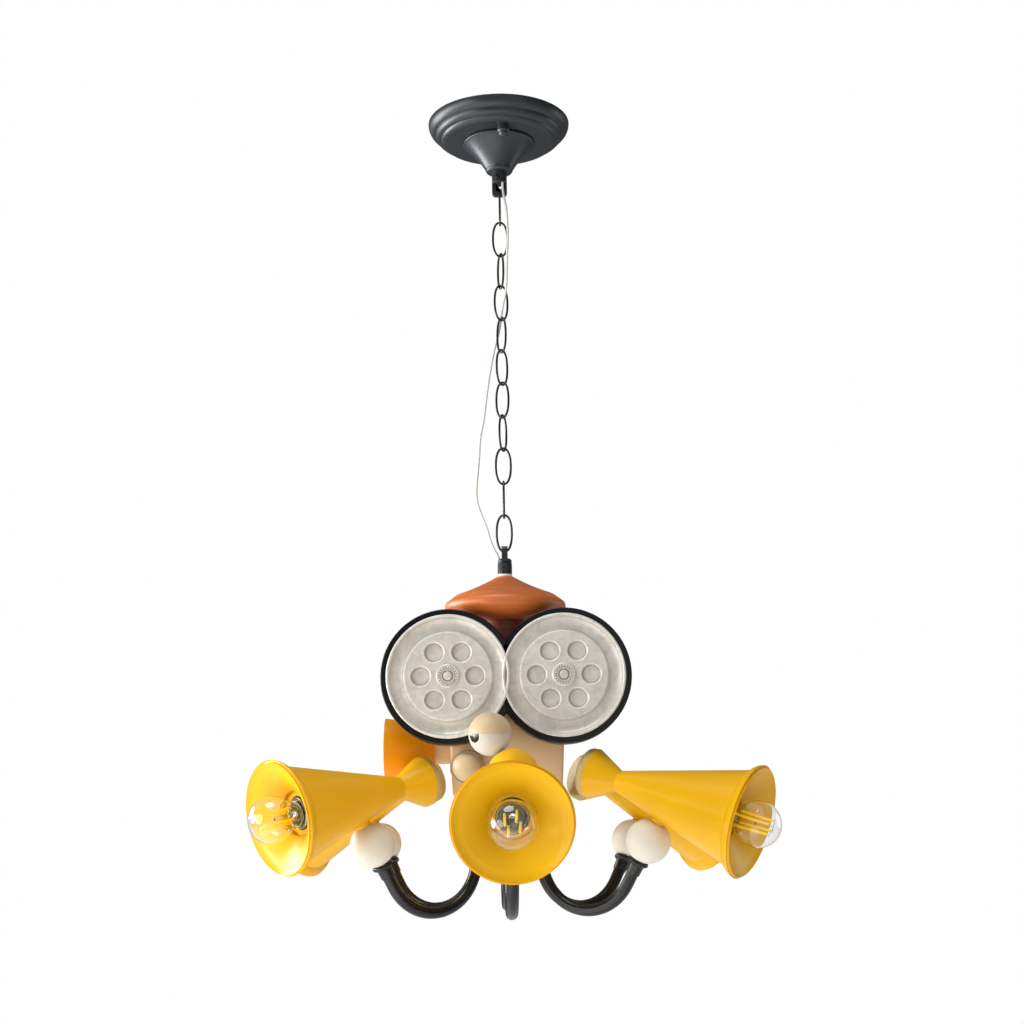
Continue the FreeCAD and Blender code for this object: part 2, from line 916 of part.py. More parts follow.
def place_head(i, shape):
    pitch = head_pitches[i]
    tip = math.radians(pitch)
    laid = spun(shape, 90 + pitch, Vector(0, 1, 0))
    laid = moved(laid, ball_reach + axis_height * math.sin(tip), 0, ball_level + axis_height * math.cos(tip))
    way = Vector(math.sin(lean), 0, math.cos(lean))
    laid = spun(laid, head_swivels[i], way, Vector(ball_reach, 0, ball_level))
    return spun(laid, azimuth(i))


def make_horn(i):
    turn = math.radians(lip_angle)
    lip = (mouth_radius - lip_radius, mouth_at - lip_radius)
    lip_out = (lip[0] + lip_radius * math.cos(turn), lip[1] - lip_radius * math.sin(turn))
    lip_in = (lip[0] - lip_radius * math.cos(turn), lip[1] + lip_radius * math.sin(turn))
    cone_end = (cone_radius, cone_at)
    hole = tube_radius + slip_gap
    well = holder_radius + well_gap
    hole_front = (bowl_hole_radius, bowl_hole_at)
    shoulder = (bowl_shoulder_radius, bowl_shoulder_at)
    flare = flare_bow * math.hypot(lip_out[0] - cone_end[0], lip_out[1] - cone_end[1])
    horn = turned(
        (hole, tail_at),
        (tail_radius, tail_at),
        (waist_radius, waist_at),
        cone_end,
        bow(cone_end, lip_out, -flare),
        lip_out,
        bow(lip_out, lip_in, lip_radius),
        lip_in,
        bow(lip_in, shoulder, bowl_flare),
        shoulder,
        bow(shoulder, hole_front, -bowl_hollow),
        hole_front,
        (bowl_hole_radius, well_step_at),
        (well, well_step_at),
        (well, well_end),
        (hole, well_end - well + hole),
    )
    tip = math.radians(arm_lean - head_pitches[i])
    ball = Vector(axis_height, 0, 0)
    way = Vector(-math.cos(tip), 0, math.sin(tip))
    foot = Part.makeCylinder(foot_radius, foot_distance(), ball, way)
    horn = joined([horn, foot.cut(Part.makeSphere(ball_radius + turning_gap, ball))])
    horn = horn.cut(Part.makeCylinder(tube_radius + swivel_gap, 2 * ball_radius, ball, way))
    room = swivel_nut_across / math.sqrt(3) + nut_room
    pocket = Part.makeCylinder(room, nut_pocket, ball + way * foot_distance(), way)
    return place_head(i, horn.cut(pocket))


def make_end_cap(i):
    back = tail_at - end_cap_thickness
    rim = tail_at - end_cap_rim
    cap = turned(
        (0, tail_at - end_cap_socket),
        (tube_radius, tail_at - end_cap_socket),
        (tube_radius, tail_at),
        (end_cap_radius, tail_at),
        (end_cap_radius, rim),
        bow((end_cap_radius, rim), (end_cap_back_radius, back), end_cap_round),
        (end_cap_back_radius, back),
        (0, back),
    )
    return place_head(i, cap)


def make_lampholder(i):
    back = holder_mouth_at - holder_length
    shoulder = back + holder_shoulder
    inner = bulb_cap_radius + bulb_cap_gap
    floor = holder_mouth_at - bulb_cap_length - bulb_contact_length
    holder = turned(
        (tube_bore, back),
        (holder_back_radius, back),
        (holder_back_radius, back + holder_back_step),
        (holder_radius, shoulder),
        (holder_radius, holder_mouth_at - holder_bevel),
        (holder_radius - holder_bevel, holder_mouth_at),
        (inner, holder_mouth_at),
        (inner, floor),
        (tube_bore, floor),
    )
    low = tail_at - end_cap_socket
    tube = bored(tube_radius, tube_bore, back - low, Vector(0, 0, low))
    return place_head(i, Part.makeCompound([holder, tube]))


def make_bulb(i):
    crown_radius = bulb_radius - bulb_wall
    throat_radius = bulb_throat_radius - bulb_wall
    throat_at = bulb_at - math.sqrt(bulb_radius**2 - bulb_throat_radius**2)
    inner_throat_at = bulb_at - math.sqrt(crown_radius**2 - throat_radius**2)
    glass = turned(
        (bulb_neck_radius - bulb_wall, holder_mouth_at),
        (bulb_neck_radius, holder_mouth_at),
        (bulb_throat_radius, throat_at),
        (bulb_radius, bulb_at, "arc"),
        (0, bulb_at + bulb_radius),
        (0, bulb_at + crown_radius),
        (crown_radius, bulb_at, "arc"),
        (throat_radius, inner_throat_at),
    )
    low = holder_mouth_at - bulb_cap_length
    contact_end = low - bulb_contact_length + bulb_cap_gap
    cap = turned(
        (0, contact_end),
        (bulb_contact_radius, contact_end),
        (bulb_cap_radius - bulb_cap_bevel, low),
        (bulb_cap_radius, low + bulb_cap_edge),
        (bulb_cap_radius, holder_mouth_at),
        (0, holder_mouth_at),
    )
    return place_head(i, Part.makeCompound([glass, cap]))


def all_nodes():
    nodes = {
        "ceiling_bar": make_ceiling_bar(),
        "bar_studs": make_bar_studs(),
        "cap_nuts": make_cap_nuts(),
        "canopy_pan": make_canopy_pan(),
        "canopy_cone": make_canopy_cone(),
        "hanger_tube": make_hanger_tube(),
        "hanger_loop": make_hanger_loop(),
        "terminal_block": make_terminal_block(),
        "flex_top": make_flex("flex_top", flex_top_points),
        "link_a": link_shape(0),
        "chain_links": Part.makeCompound([link_shape(i) for i in range(1, len(link_yaws) - 1)]),
        "flex_mid": make_flex("flex_mid", flex_mid_points),
        "link_k": link_shape(len(link_yaws) - 1),
        "flex_tail": make_flex("flex_tail", flex_tail_points),
        "lower_loop": make_lower_loop(),
        "coupling": make_coupling(),
        "washer": make_washer(),
        "hat": make_hat(),
        "hat_neck": make_hat_neck(),
        "head_block": make_head_block(),
        "reel_backs": make_reel_backs(),
        "reel_faces": make_reel_faces(),
        "reel_hub_caps": make_reel_hub_caps(),
        "eyeball": make_eyeball(),
        "eyelid": make_eyelid(),
        "pupil": make_pupil(),
        "nose_dish": make_nose_dish(),
        "nose_ball": make_nose_ball(),
        "side_horn": make_side_horn(),
        "horn_peg": make_horn_peg(),
        "arm_hub": make_arm_hub(),
        "tie_rod": make_tie_rod(),
        "arms": make_arms(),
        "arm_cups": make_arm_cups(),
        "wood_balls": make_wood_balls(),
        "swivel_studs": make_swivel_studs(),
    }
    for i, name in enumerate(head_names):
        nodes["horn_" + name] = make_horn(i)
        nodes["end_cap_" + name] = make_end_cap(i)
        nodes["lampholder_" + name] = make_lampholder(i)
        nodes["bulb_" + name] = make_bulb(i)
    return nodes


def export(nodes):
    os.makedirs("parts", exist_ok=True)
    for name, shape in nodes.items():
        solids = shape.Solids
        if not solids or min(solid.Volume for solid in solids) <= 0 or not shape.isValid():
            raise ValueError(name + " is not made of sound solids")
        whole = solids[0] if len(solids) == 1 else Part.makeCompound(solids)
        whole.exportStep("parts/" + name + ".step")
    print("nodes", len(nodes))


if __name__ == "__main__":
    export(all_nodes())
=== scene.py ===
import bmesh
import bpy
from math import asin, atan2, cos, degrees, exp, hypot, pi, radians, sin, sqrt, tan
from mathutils import Matrix, Vector


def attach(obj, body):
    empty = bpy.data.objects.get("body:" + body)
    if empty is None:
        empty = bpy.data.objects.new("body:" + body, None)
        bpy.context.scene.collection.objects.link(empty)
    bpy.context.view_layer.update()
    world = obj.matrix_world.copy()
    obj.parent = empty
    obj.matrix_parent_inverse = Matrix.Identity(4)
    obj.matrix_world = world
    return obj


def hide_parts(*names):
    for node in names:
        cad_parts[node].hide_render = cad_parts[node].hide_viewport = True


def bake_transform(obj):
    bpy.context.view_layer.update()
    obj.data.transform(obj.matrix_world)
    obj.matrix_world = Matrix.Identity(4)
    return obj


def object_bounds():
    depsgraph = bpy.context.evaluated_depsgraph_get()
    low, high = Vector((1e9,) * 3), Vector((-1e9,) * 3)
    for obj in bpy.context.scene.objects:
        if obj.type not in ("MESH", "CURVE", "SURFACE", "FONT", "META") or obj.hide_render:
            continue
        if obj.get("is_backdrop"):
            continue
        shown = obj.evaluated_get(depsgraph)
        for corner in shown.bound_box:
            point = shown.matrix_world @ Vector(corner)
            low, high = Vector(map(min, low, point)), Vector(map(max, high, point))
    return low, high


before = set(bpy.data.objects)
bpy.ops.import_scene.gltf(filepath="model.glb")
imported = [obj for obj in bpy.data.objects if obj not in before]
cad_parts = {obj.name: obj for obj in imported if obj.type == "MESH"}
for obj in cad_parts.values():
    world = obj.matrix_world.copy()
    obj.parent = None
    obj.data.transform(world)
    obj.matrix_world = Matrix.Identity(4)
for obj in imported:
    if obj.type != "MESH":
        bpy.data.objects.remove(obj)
cadBox = [list(corner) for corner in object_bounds()]
mm = 0.001
print("stage: frame loaded")

headNames = ("f", "rf", "rb", "b", "lb", "lf")

levels = {  # heights on the lamp's axis, in mm, with the ceiling at 0
    "plate": -22.5, "coneEnd": -58.0, "collarEnd": -71.0, "hangerBar": -83.2, "coupling": -499.0,
    "washer": -512.0, "hat": -514.3, "hatBase": -562.6, "block": -617.0, "reel": -625.0, "hub": -744.0,
}
rodHole, studHole = 5.3, 5.1  # radii
mergeGap, cutGap = 1e-6, 1e-7  # in m
axisGap = 1e-4  # in mm


def toLinear(code):
    channels = [int(code[i:i + 2], 16) / 255 for i in (1, 3, 5)]
    return [c / 12.92 if c <= 0.04045 else ((c + 0.055) / 1.055) ** 2.4 for c in channels] + [1.0]


def arcPoints(start, middle, end, steps):
    # points of the arc through three, without its start
    ax, ay, bx, by, cx, cy = *start, *middle, *end
    d = 2 * (ax * (by - cy) + bx * (cy - ay) + cx * (ay - by))
    if abs(d) < 1e-9:
        return [end]
    a2, b2, c2 = ax * ax + ay * ay, bx * bx + by * by, cx * cx + cy * cy
    ux = (a2 * (by - cy) + b2 * (cy - ay) + c2 * (ay - by)) / d
    uy = (a2 * (cx - bx) + b2 * (ax - cx) + c2 * (bx - ax)) / d
    radius = hypot(ax - ux, ay - uy)
    first = atan2(ay - uy, ax - ux)
    half = (atan2(by - uy, bx - ux) - first) % (2 * pi)
    whole = (atan2(cy - uy, cx - ux) - first) % (2 * pi)
    if half > whole:  # the arc runs the other way round
        whole -= 2 * pi
    angles = [first + whole * i / steps for i in range(1, steps)]
    return [(ux + radius * cos(a), uy + radius * sin(a)) for a in angles] + [end]


def bow(start, end, rise):
    # the middle stop of an arc that rises to the left of the way from start to end
    across, up = end[0] - start[0], end[1] - start[1]
    length = hypot(across, up)
    x, y = (start[0] + end[0]) / 2, (start[1] + end[1]) / 2
    return ("via", x - rise * up / length, y + rise * across / length)


def roundedCorner(before, point, after, radius, steps=4, most=0.48):
    # the round takes at most that share of each side
    here = Vector(point)
    before, after = Vector(before) - here, Vector(after) - here
    slope = tan(before.angle(after) / 2)
    back = min(radius / slope, most * before.length, most * after.length)
    first, last = here + before.normalized() * back, here + after.normalized() * back
    bend = (before.normalized() + after.normalized()).normalized()
    r = back * slope
    middle = here + bend * (r / sin(before.angle(after) / 2) - r)
    return [tuple(first)] + arcPoints(tuple(first), tuple(middle), tuple(last), steps)


def tracedOutline(stops, steps=12):
    # a stop is (radius, height), with a third value to round the corner, or ("via", radius, height) in an arc
    points, rounds, middle = [], [], None
    for stop in list(stops) + [stops[0]]:
        if stop[0] == "via":
            middle = stop[1:]
            continue
        spot = (float(stop[0]), float(stop[1]))
        reached = arcPoints(points[-1], middle, spot, steps) if middle else [spot]
        points += reached
        rounds += [0] * len(reached)
        rounds[-1] = stop[2] if len(stop) > 2 else 0
        middle = None
    rounds[0] = rounds.pop()
    points.pop()
    outline = []
    for i, (point, radius) in enumerate(zip(points, rounds)):
        after = points[(i + 1) % len(points)]
        outline += roundedCorner(points[i - 1], point, after, radius) if radius else [point]
    return outline


def lifted(stops, level):
    # the same stops with their heights counted from the level
    return [(stop[0], stop[1] + level, *stop[2:]) for stop in stops]


def sleeve(inner, outer, start, end, edge=0):
    return [(inner, start), (outer, start, edge), (outer, end, edge), (inner, end)]


def closedMesh(shape):
    bmesh.ops.remove_doubles(shape, verts=shape.verts, dist=mergeGap)
    bmesh.ops.recalc_face_normals(shape, faces=shape.faces)
    return plainMesh(shape)


def plainMesh(shape):
    mesh = bpy.data.meshes.new("shape")
    shape.to_mesh(mesh)
    shape.free()
    return mesh


def ringPoints(r, heights):
    # one point for each height, evenly round the axis, or the one point on it
    if r < axisGap:
        return [(0, 0, heights[0])]
    angles = [2 * pi * k / len(heights) for k in range(len(heights))]
    return [(r * cos(a), r * sin(a), h) for a, h in zip(angles, heights)]


def ringedMesh(rings):
    # joins each ring to the next, and the last to the first
    shape = bmesh.new()
    made = [[shape.verts.new([c * mm for c in point]) for point in ring] for ring in rings]
    count = max(len(ring) for ring in rings)
    for a, b in zip(made, made[1:] + made[:1]):
        for k in range(count):
            n = (k + 1) % count
            corners = list(dict.fromkeys([a[k % len(a)], a[n % len(a)], b[n % len(b)], b[k % len(b)]]))
            if len(corners) > 2:
                shape.faces.new(corners)
    return closedMesh(shape)


def turnedMesh(stops, count=96, steps=12):
    return ringedMesh([ringPoints(r, [z] * count) for r, z in tracedOutline(stops, steps)])


def opened(*meshes):
    shape = bmesh.new()
    for mesh in meshes:
        shape.from_mesh(mesh)
    return shape


def joinedMesh(meshes):
    return plainMesh(opened(*meshes))


def movedMesh(mesh, matrix):
    copy = mesh.copy()
    copy.transform(matrix)
    return copy


def shift(x=0.0, y=0.0, z=0.0):
    return Matrix.Translation((x * mm, y * mm, z * mm))


def turn(angle, axis):
    return Matrix.Rotation(radians(angle), 4, axis)


def boxMesh(low, high):
    shape = bmesh.new()
    bmesh.ops.create_cube(shape, size=1)
    for v in shape.verts:
        for k in range(3):
            v.co[k] = (low[k] + high[k]) / 2 * mm + v.co[k] * (high[k] - low[k]) * mm
    return closedMesh(shape)


def ballMesh(radius, centre=(0, 0, 0), across=96, down=48):
    angles = [pi * k / down for k in range(down + 1)]
    rings = [ringPoints(radius * sin(a), [-radius * cos(a)] * across) for a in angles]
    return movedMesh(ringedMesh(rings), shift(*centre))


def cutMesh(mesh, point, normal):
    # keeps the side that the normal points away from, and closes the cut
    shape = opened(mesh)
    cut = bmesh.ops.bisect_plane(shape, geom=shape.verts[:] + shape.edges[:] + shape.faces[:], dist=cutGap,
        plane_co=Vector(point) * mm, plane_no=Vector(normal), clear_outer=True)
    edges = [e for e in cut["geom_cut"] if isinstance(e, bmesh.types.BMEdge)]
    bmesh.ops.contextual_create(shape, geom=edges)
    return closedMesh(shape)


def placed(name, data):
    thing = bpy.data.objects.new(name, data)
    bpy.context.scene.collection.objects.link(thing)
    return thing


def workedMesh(data, kind=None, inputs=None, **settings):
    # the plain mesh that a mesh or curve gives, through one modifier at most
    thing = placed("work", data)
    if kind:
        modifier = thing.modifiers.new("work", kind)
        for label, value in settings.items():
            setattr(modifier, label, value)
        for label, value in (inputs or {}).items():
            modifier[label] = value
    graph = bpy.context.evaluated_depsgraph_get()
    graph.update()
    made = thing.evaluated_get(graph)
    mesh = bpy.data.meshes.new_from_object(made, preserve_all_data_layers=True, depsgraph=graph)
    bpy.data.objects.remove(thing)
    return mesh


def bevelled(mesh, width, segments=3, angle=30):
    # bevels every edge sharper than the angle
    return workedMesh(mesh, "BEVEL", width=width * mm, segments=segments, limit_method="ANGLE",
        angle_limit=radians(angle))


def drilled(mesh, cutter):
    tool = placed("drillTool", cutter)
    result = workedMesh(mesh, "BOOLEAN", operation="DIFFERENCE", object=tool)
    bpy.data.objects.remove(tool)
    return result


def piece(name, mesh, finish, body, node=None, angle=32):
    mesh.name = name
    mesh.shade_smooth()
    mesh.set_sharp_from_angle(angle=radians(angle))
    thing = placed(name, mesh)
    mesh.materials.clear()
    mesh.materials.append(finishes[finish])
    if body:
        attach(thing, body)
    if node:
        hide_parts(node)
    return thing


def fill(tree, node, inputs):
    # an output is linked to its socket, a constant set on it
    for label, value in inputs.items():
        if isinstance(value, bpy.types.NodeSocket):
            tree.links.new(value, node.inputs[label])
        else:
            node.inputs[label].default_value = value


def addNode(tree, kind, inputs=None, **settings):
    node = tree.nodes.new(kind)
    for label, value in settings.items():
        setattr(node, label, value)
    fill(tree, node, inputs or {})
    return node


def mathNode(tree, operation, *values):
    return addNode(tree, "ShaderNodeMath", dict(enumerate(values)), operation=operation).outputs[0]


def newTree(name, kind, inputs, outputs):
    # an input is (label, type) or (label, type, default)
    tree = bpy.data.node_groups.new(name, kind)
    for label, sort, *default in inputs:
        socket = tree.interface.new_socket(label, in_out="INPUT", socket_type="NodeSocket" + sort)
        if default:
            socket.default_value = default[0]
    for label, sort in outputs:
        tree.interface.new_socket(label, in_out="OUTPUT", socket_type="NodeSocket" + sort)
    return tree, tree.nodes.new("NodeGroupInput").outputs


def endTree(tree, results):
    fill(tree, tree.nodes.new("NodeGroupOutput"), results)
    return tree


def growthTree(name, labels):
    geometry = [("Geometry", "Geometry")]
    values = [(label, "Int" if label == "Copies" else "Float") for label in labels]
    return newTree(name, "GeometryNodeTree", geometry + values, geometry)


def copiesOnPoints(tree, base, points, angle):
    spin = addNode(tree, "ShaderNodeCombineXYZ", {"Z": angle})
    copies = addNode(tree, "GeometryNodeInstanceOnPoints",
        {"Points": points, "Instance": base, "Rotation": spin.outputs[0]})
    real = addNode(tree, "GeometryNodeRealizeInstances", {"Geometry": copies.outputs[0]})
    return endTree(tree, {"Geometry": real.outputs[0]})


def copiesAboutAxis(tree, given, base):
    line = addNode(tree, "GeometryNodeMeshLine", {"Count": given["Copies"], "Offset": (0, 0, 0)})
    index = tree.nodes.new("GeometryNodeInputIndex").outputs[0]
    further = mathNode(tree, "MULTIPLY", index, given["Step Angle"])
    angle = mathNode(tree, "ADD", further, given["First Angle"])
    return copiesOnPoints(tree, base, line.outputs[0], angle)


def ringCopiesTree():
    # repeats the object's own mesh about Z
    tree, given = growthTree("ringCopies", ["Copies", "First Angle", "Step Angle"])
    return copiesAboutAxis(tree, given, given["Geometry"])


def sweptRoundTree():
    # a tube along the object's own curve, repeated about Z
    tree, given = growthTree("sweptRound", ["Tube Radius", "Copies", "First Angle", "Step Angle"])
    rim = addNode(tree, "GeometryNodeCurvePrimitiveCircle",
        {"Resolution": 32, "Radius": given["Tube Radius"]})
    sweep = addNode(tree, "GeometryNodeCurveToMesh",
        {"Curve": given["Geometry"], "Profile Curve": rim.outputs["Curve"], "Fill Caps": True})
    return copiesAboutAxis(tree, given, sweep.outputs[0])


def chainLoopsTree():
    # an oval loop of round wire on each point, turned by the point's own yaw
    tree, given = growthTree("chainLoops", ["Link Length", "Link Width", "Wire", "Fullness"])
    ring = addNode(tree, "GeometryNodeCurvePrimitiveCircle", {"Resolution": 80, "Radius": 1.0})
    where = tree.nodes.new("GeometryNodeInputPosition").outputs[0]
    parts = addNode(tree, "ShaderNodeSeparateXYZ", {0: where}).outputs
    power = mathNode(tree, "DIVIDE", 2.0, given["Fullness"])
    sides = []
    for axis, size in (("X", "Link Width"), ("Y", "Link Length")):
        half = mathNode(tree, "MULTIPLY", mathNode(tree, "SUBTRACT", given[size], given["Wire"]), 0.5)
        swell = mathNode(tree, "POWER", mathNode(tree, "ABSOLUTE", parts[axis]), power)
        signed = mathNode(tree, "MULTIPLY", mathNode(tree, "SIGN", parts[axis]), swell)
        sides.append(mathNode(tree, "MULTIPLY", signed, half))
    oval = addNode(tree, "ShaderNodeCombineXYZ", {"X": sides[0], "Z": sides[1]})
    bend = addNode(tree, "GeometryNodeSetPosition",
        {"Geometry": ring.outputs["Curve"], "Position": oval.outputs[0]})
    thickness = mathNode(tree, "MULTIPLY", given["Wire"], 0.5)
    wire = addNode(tree, "GeometryNodeCurvePrimitiveCircle", {"Resolution": 16, "Radius": thickness})
    sweep = addNode(tree, "GeometryNodeCurveToMesh",
        {"Curve": bend.outputs[0], "Profile Curve": wire.outputs["Curve"]})
    yaw = addNode(tree, "GeometryNodeInputNamedAttribute", {"Name": "yaw"}, data_type="FLOAT")
    return copiesOnPoints(tree, sweep.outputs[0], given["Geometry"], yaw.outputs["Attribute"])


trees = {"ringCopies": ringCopiesTree(), "chainLoops": chainLoopsTree(), "sweptRound": sweptRoundTree()}


def grown(tree, base, values):
    # runs a tree on a mesh or curve
    items = trees[tree].interface.items_tree
    sockets = {item.name: item.identifier for item in items if item.in_out == "INPUT"}
    inputs = {sockets[label]: value for label, value in values.items()}
    return closedMesh(opened(workedMesh(base, "NODES", inputs, node_group=trees[tree])))


def ringValues(copies, first):
    return {"Copies": copies, "First Angle": radians(first), "Step Angle": radians(360 / copies)}


def around(mesh, copies, first):
    return grown("ringCopies", mesh, ringValues(copies, first))


def noiseNode(tree, vector, scale, detail=3.0, rough=0.5, distortion=0.0):
    values = {"Scale": scale, "Detail": detail, "Roughness": rough, "Distortion": distortion}
    return addNode(tree, "ShaderNodeTexNoise", {"Vector": vector, **values}).outputs["Fac"]


def rangeNode(tree, value, low, high, newLow=0.0, newHigh=1.0):
    values = {"From Min": low, "From Max": high, "To Min": newLow, "To Max": newHigh}
    return addNode(tree, "ShaderNodeMapRange", {"Value": value, **values}).outputs["Result"]


def effectTree(name, inputs, outputs):
    sockets = [("Vector", "Vector")]
    for label, value in inputs.items():
        sockets.append((label, "Vector" if label == "Stretch" else "Float", value))
    return newTree(name, "ShaderNodeTree", sockets, [(label, "Float") for label in outputs])


def paintSkinTree():
    # slow drift of tone and a fine sprayed skin
    tree, given = effectTree("paintSkin", {"Drift Scale": 9.0, "Skin Scale": 900.0}, ["Tone", "Height"])
    drift = noiseNode(tree, given["Vector"], given["Drift Scale"], 2.0)
    skin = noiseNode(tree, given["Vector"], given["Skin Scale"], 2.0, 0.6)
    return endTree(tree, {"Tone": rangeNode(tree, drift, 0.3, 0.7), "Height": skin})


def timberGrainTree():
    # fibres drawn out along one direction, over a broad figure
    tree, given = effectTree("timberGrain",
        {"Stretch": (1, 1, 8), "Figure Scale": 12.0, "Fibre Scale": 160.0}, ["Figure", "Fibre"])
    drawn = addNode(tree, "ShaderNodeVectorMath",
        {0: given["Vector"], 1: given["Stretch"]}, operation="MULTIPLY")
    figure = noiseNode(tree, drawn.outputs[0], given["Figure Scale"], 4.0, 0.55, 0.4)
    fibre = noiseNode(tree, drawn.outputs[0], given["Fibre Scale"], 3.0, 0.6)
    return endTree(tree, {"Figure": rangeNode(tree, figure, 0.3, 0.7), "Fibre": fibre})


def paintedEdgeHighlightTree():
    # finds edges and corners, broken up by noise, for a painted highlight
    tree, given = effectTree("paintedEdgeHighlight", {"Low": 0.52, "High": 0.62}, ["Highlight"])
    shape = tree.nodes.new("ShaderNodeNewGeometry")
    edges = rangeNode(tree, shape.outputs["Pointiness"], given["Low"], given["High"])
    broken = rangeNode(tree, noiseNode(tree, given["Vector"], 260.0, 4.0, 0.6), 0.35, 0.6)
    return endTree(tree, {"Highlight": mathNode(tree, "MULTIPLY", edges, broken)})


effects = {"paintSkin": paintSkinTree(), "timberGrain": timberGrainTree(), "paintedEdgeHighlight": paintedEdgeHighlightTree()}


def shaderBase():
    material = bpy.data.materials.new("finish")
    material.use_nodes = True
    tree = material.node_tree
    where = tree.nodes.new("ShaderNodeTexCoord").outputs["Object"]
    return material, tree, tree.nodes["Principled BSDF"], where


def effectNode(tree, effect, where, values):
    return addNode(tree, "ShaderNodeGroup", {"Vector": where, **values}, node_tree=effects[effect]).outputs


def tinted(tree, factor, dark, light):
    return addNode(tree, "ShaderNodeMix", {0: factor, 6: dark, 7: light}, data_type="RGBA").outputs[2]


def raised(tree, height, strength, distance):
    values = {"Height": height, "Strength": strength, "Distance": distance}
    return addNode(tree, "ShaderNodeBump", values).outputs[0]


def sprayedPaint(dark, light, rough, coat=0.0, skin=900.0, depth=0.12, shine=0.5):
    material, tree, shader, where = shaderBase()
    film = effectNode(tree, "paintSkin", where, {"Skin Scale": skin})
    fill(tree, shader, {
        "Base Color": tinted(tree, film["Tone"], toLinear(dark), toLinear(light)),
        "Roughness": rangeNode(tree, film["Tone"], 0.0, 1.0, rough + 0.05, rough - 0.04),
        "Specular IOR Level": shine, "Coat Weight": coat, "Coat Roughness": 0.15,
        "Normal": raised(tree, film["Height"], depth, 0.0004)})
    return material


def lacqueredTimber(dark, light, rough, stretch, coat=0.1, figure=12.0, fibre=160.0):
    material, tree, shader, where = shaderBase()
    grain = effectNode(tree, "timberGrain", where,
        {"Stretch": stretch, "Figure Scale": figure, "Fibre Scale": fibre})
    broad = tinted(tree, grain["Figure"], toLinear(dark), toLinear(light))
    fine = rangeNode(tree, grain["Fibre"], 0.45, 0.75, 0.0, 0.35)
    fill(tree, shader, {
        "Base Color": tinted(tree, fine, broad, toLinear(dark)),
        "Roughness": rangeNode(tree, grain["Fibre"], 0.3, 0.7, rough - 0.05, rough + 0.07),
        "Coat Weight": coat, "Coat Roughness": 0.25, "Normal": raised(tree, grain["Fibre"], 0.1, 0.0003)})
    return material


def platedMetal(dark, light, rough, stretch=(1, 1, 30)):
    material, tree, shader, where = shaderBase()
    brush = effectNode(tree, "timberGrain", where,
        {"Stretch": stretch, "Figure Scale": 20.0, "Fibre Scale": 300.0})
    fill(tree, shader, {
        "Base Color": tinted(tree, brush["Figure"], toLinear(dark), toLinear(light)),
        "Roughness": rangeNode(tree, brush["Fibre"], 0.3, 0.7, rough - 0.05, rough + 0.08),
        "Metallic": 1.0, "Normal": raised(tree, brush["Fibre"], 0.05, 0.0002)})
    return material


# paint with a painted glow: a faint emission brightens the unlit filaments
def glowingPaint(dark, light, rough, glow):
    material = sprayedPaint(dark, light, rough)
    fill(material.node_tree, material.node_tree.nodes["Principled BSDF"],
        {"Emission Color": toLinear(light), "Emission Strength": glow})
    return material


def clearGlass(tint):
    material, tree, shader, where = shaderBase()
    haze = noiseNode(tree, where, 60.0, 2.0)
    fill(tree, shader, {
        "Base Color": toLinear(tint), "Roughness": rangeNode(tree, haze, 0.3, 0.7, 0.0, 0.02),
        "Transmission Weight": 1.0, "IOR": 1.45})
    return material


def castResin(dark, light, shadeTone, highlightTone):
    # pale cast relief, with painted shade darkening its hollows and a painted highlight brightening its sharp
    # edges
    material, tree, shader, where = shaderBase()
    skin = effectNode(tree, "paintSkin", where, {"Drift Scale": 24.0, "Skin Scale": 420.0})
    mottled = noiseNode(tree, where, 70.0, 6.0, 0.65, 1.0)
    pale = tinted(tree, rangeNode(tree, mottled, 0.35, 0.68), toLinear(dark), toLinear(light))
    shape = tree.nodes.new("ShaderNodeNewGeometry")
    # painted shade: concave places, found by pointiness, are darkened toward the shade colour
    hollowShade = tinted(tree, rangeNode(tree, shape.outputs["Pointiness"], 0.49, 0.44), pale, toLinear(shadeTone))
    # painted highlight: sharp convex edges are brightened toward the pale highlight colour
    edgeHighlight = effectNode(tree, "paintedEdgeHighlight", where, {"Low": 0.51, "High": 0.56})
    rise = mathNode(tree, "ADD", skin["Height"], mathNode(tree, "MULTIPLY", mottled, 1.5))
    fill(tree, shader, {
        "Base Color": tinted(tree, edgeHighlight["Highlight"], hollowShade, toLinear(highlightTone)),
        "Roughness": rangeNode(tree, mottled, 0.3, 0.7, 0.42, 0.3),
        "Metallic": 0.15, "Normal": raised(tree, rise, 0.22, 0.0004)})
    return material


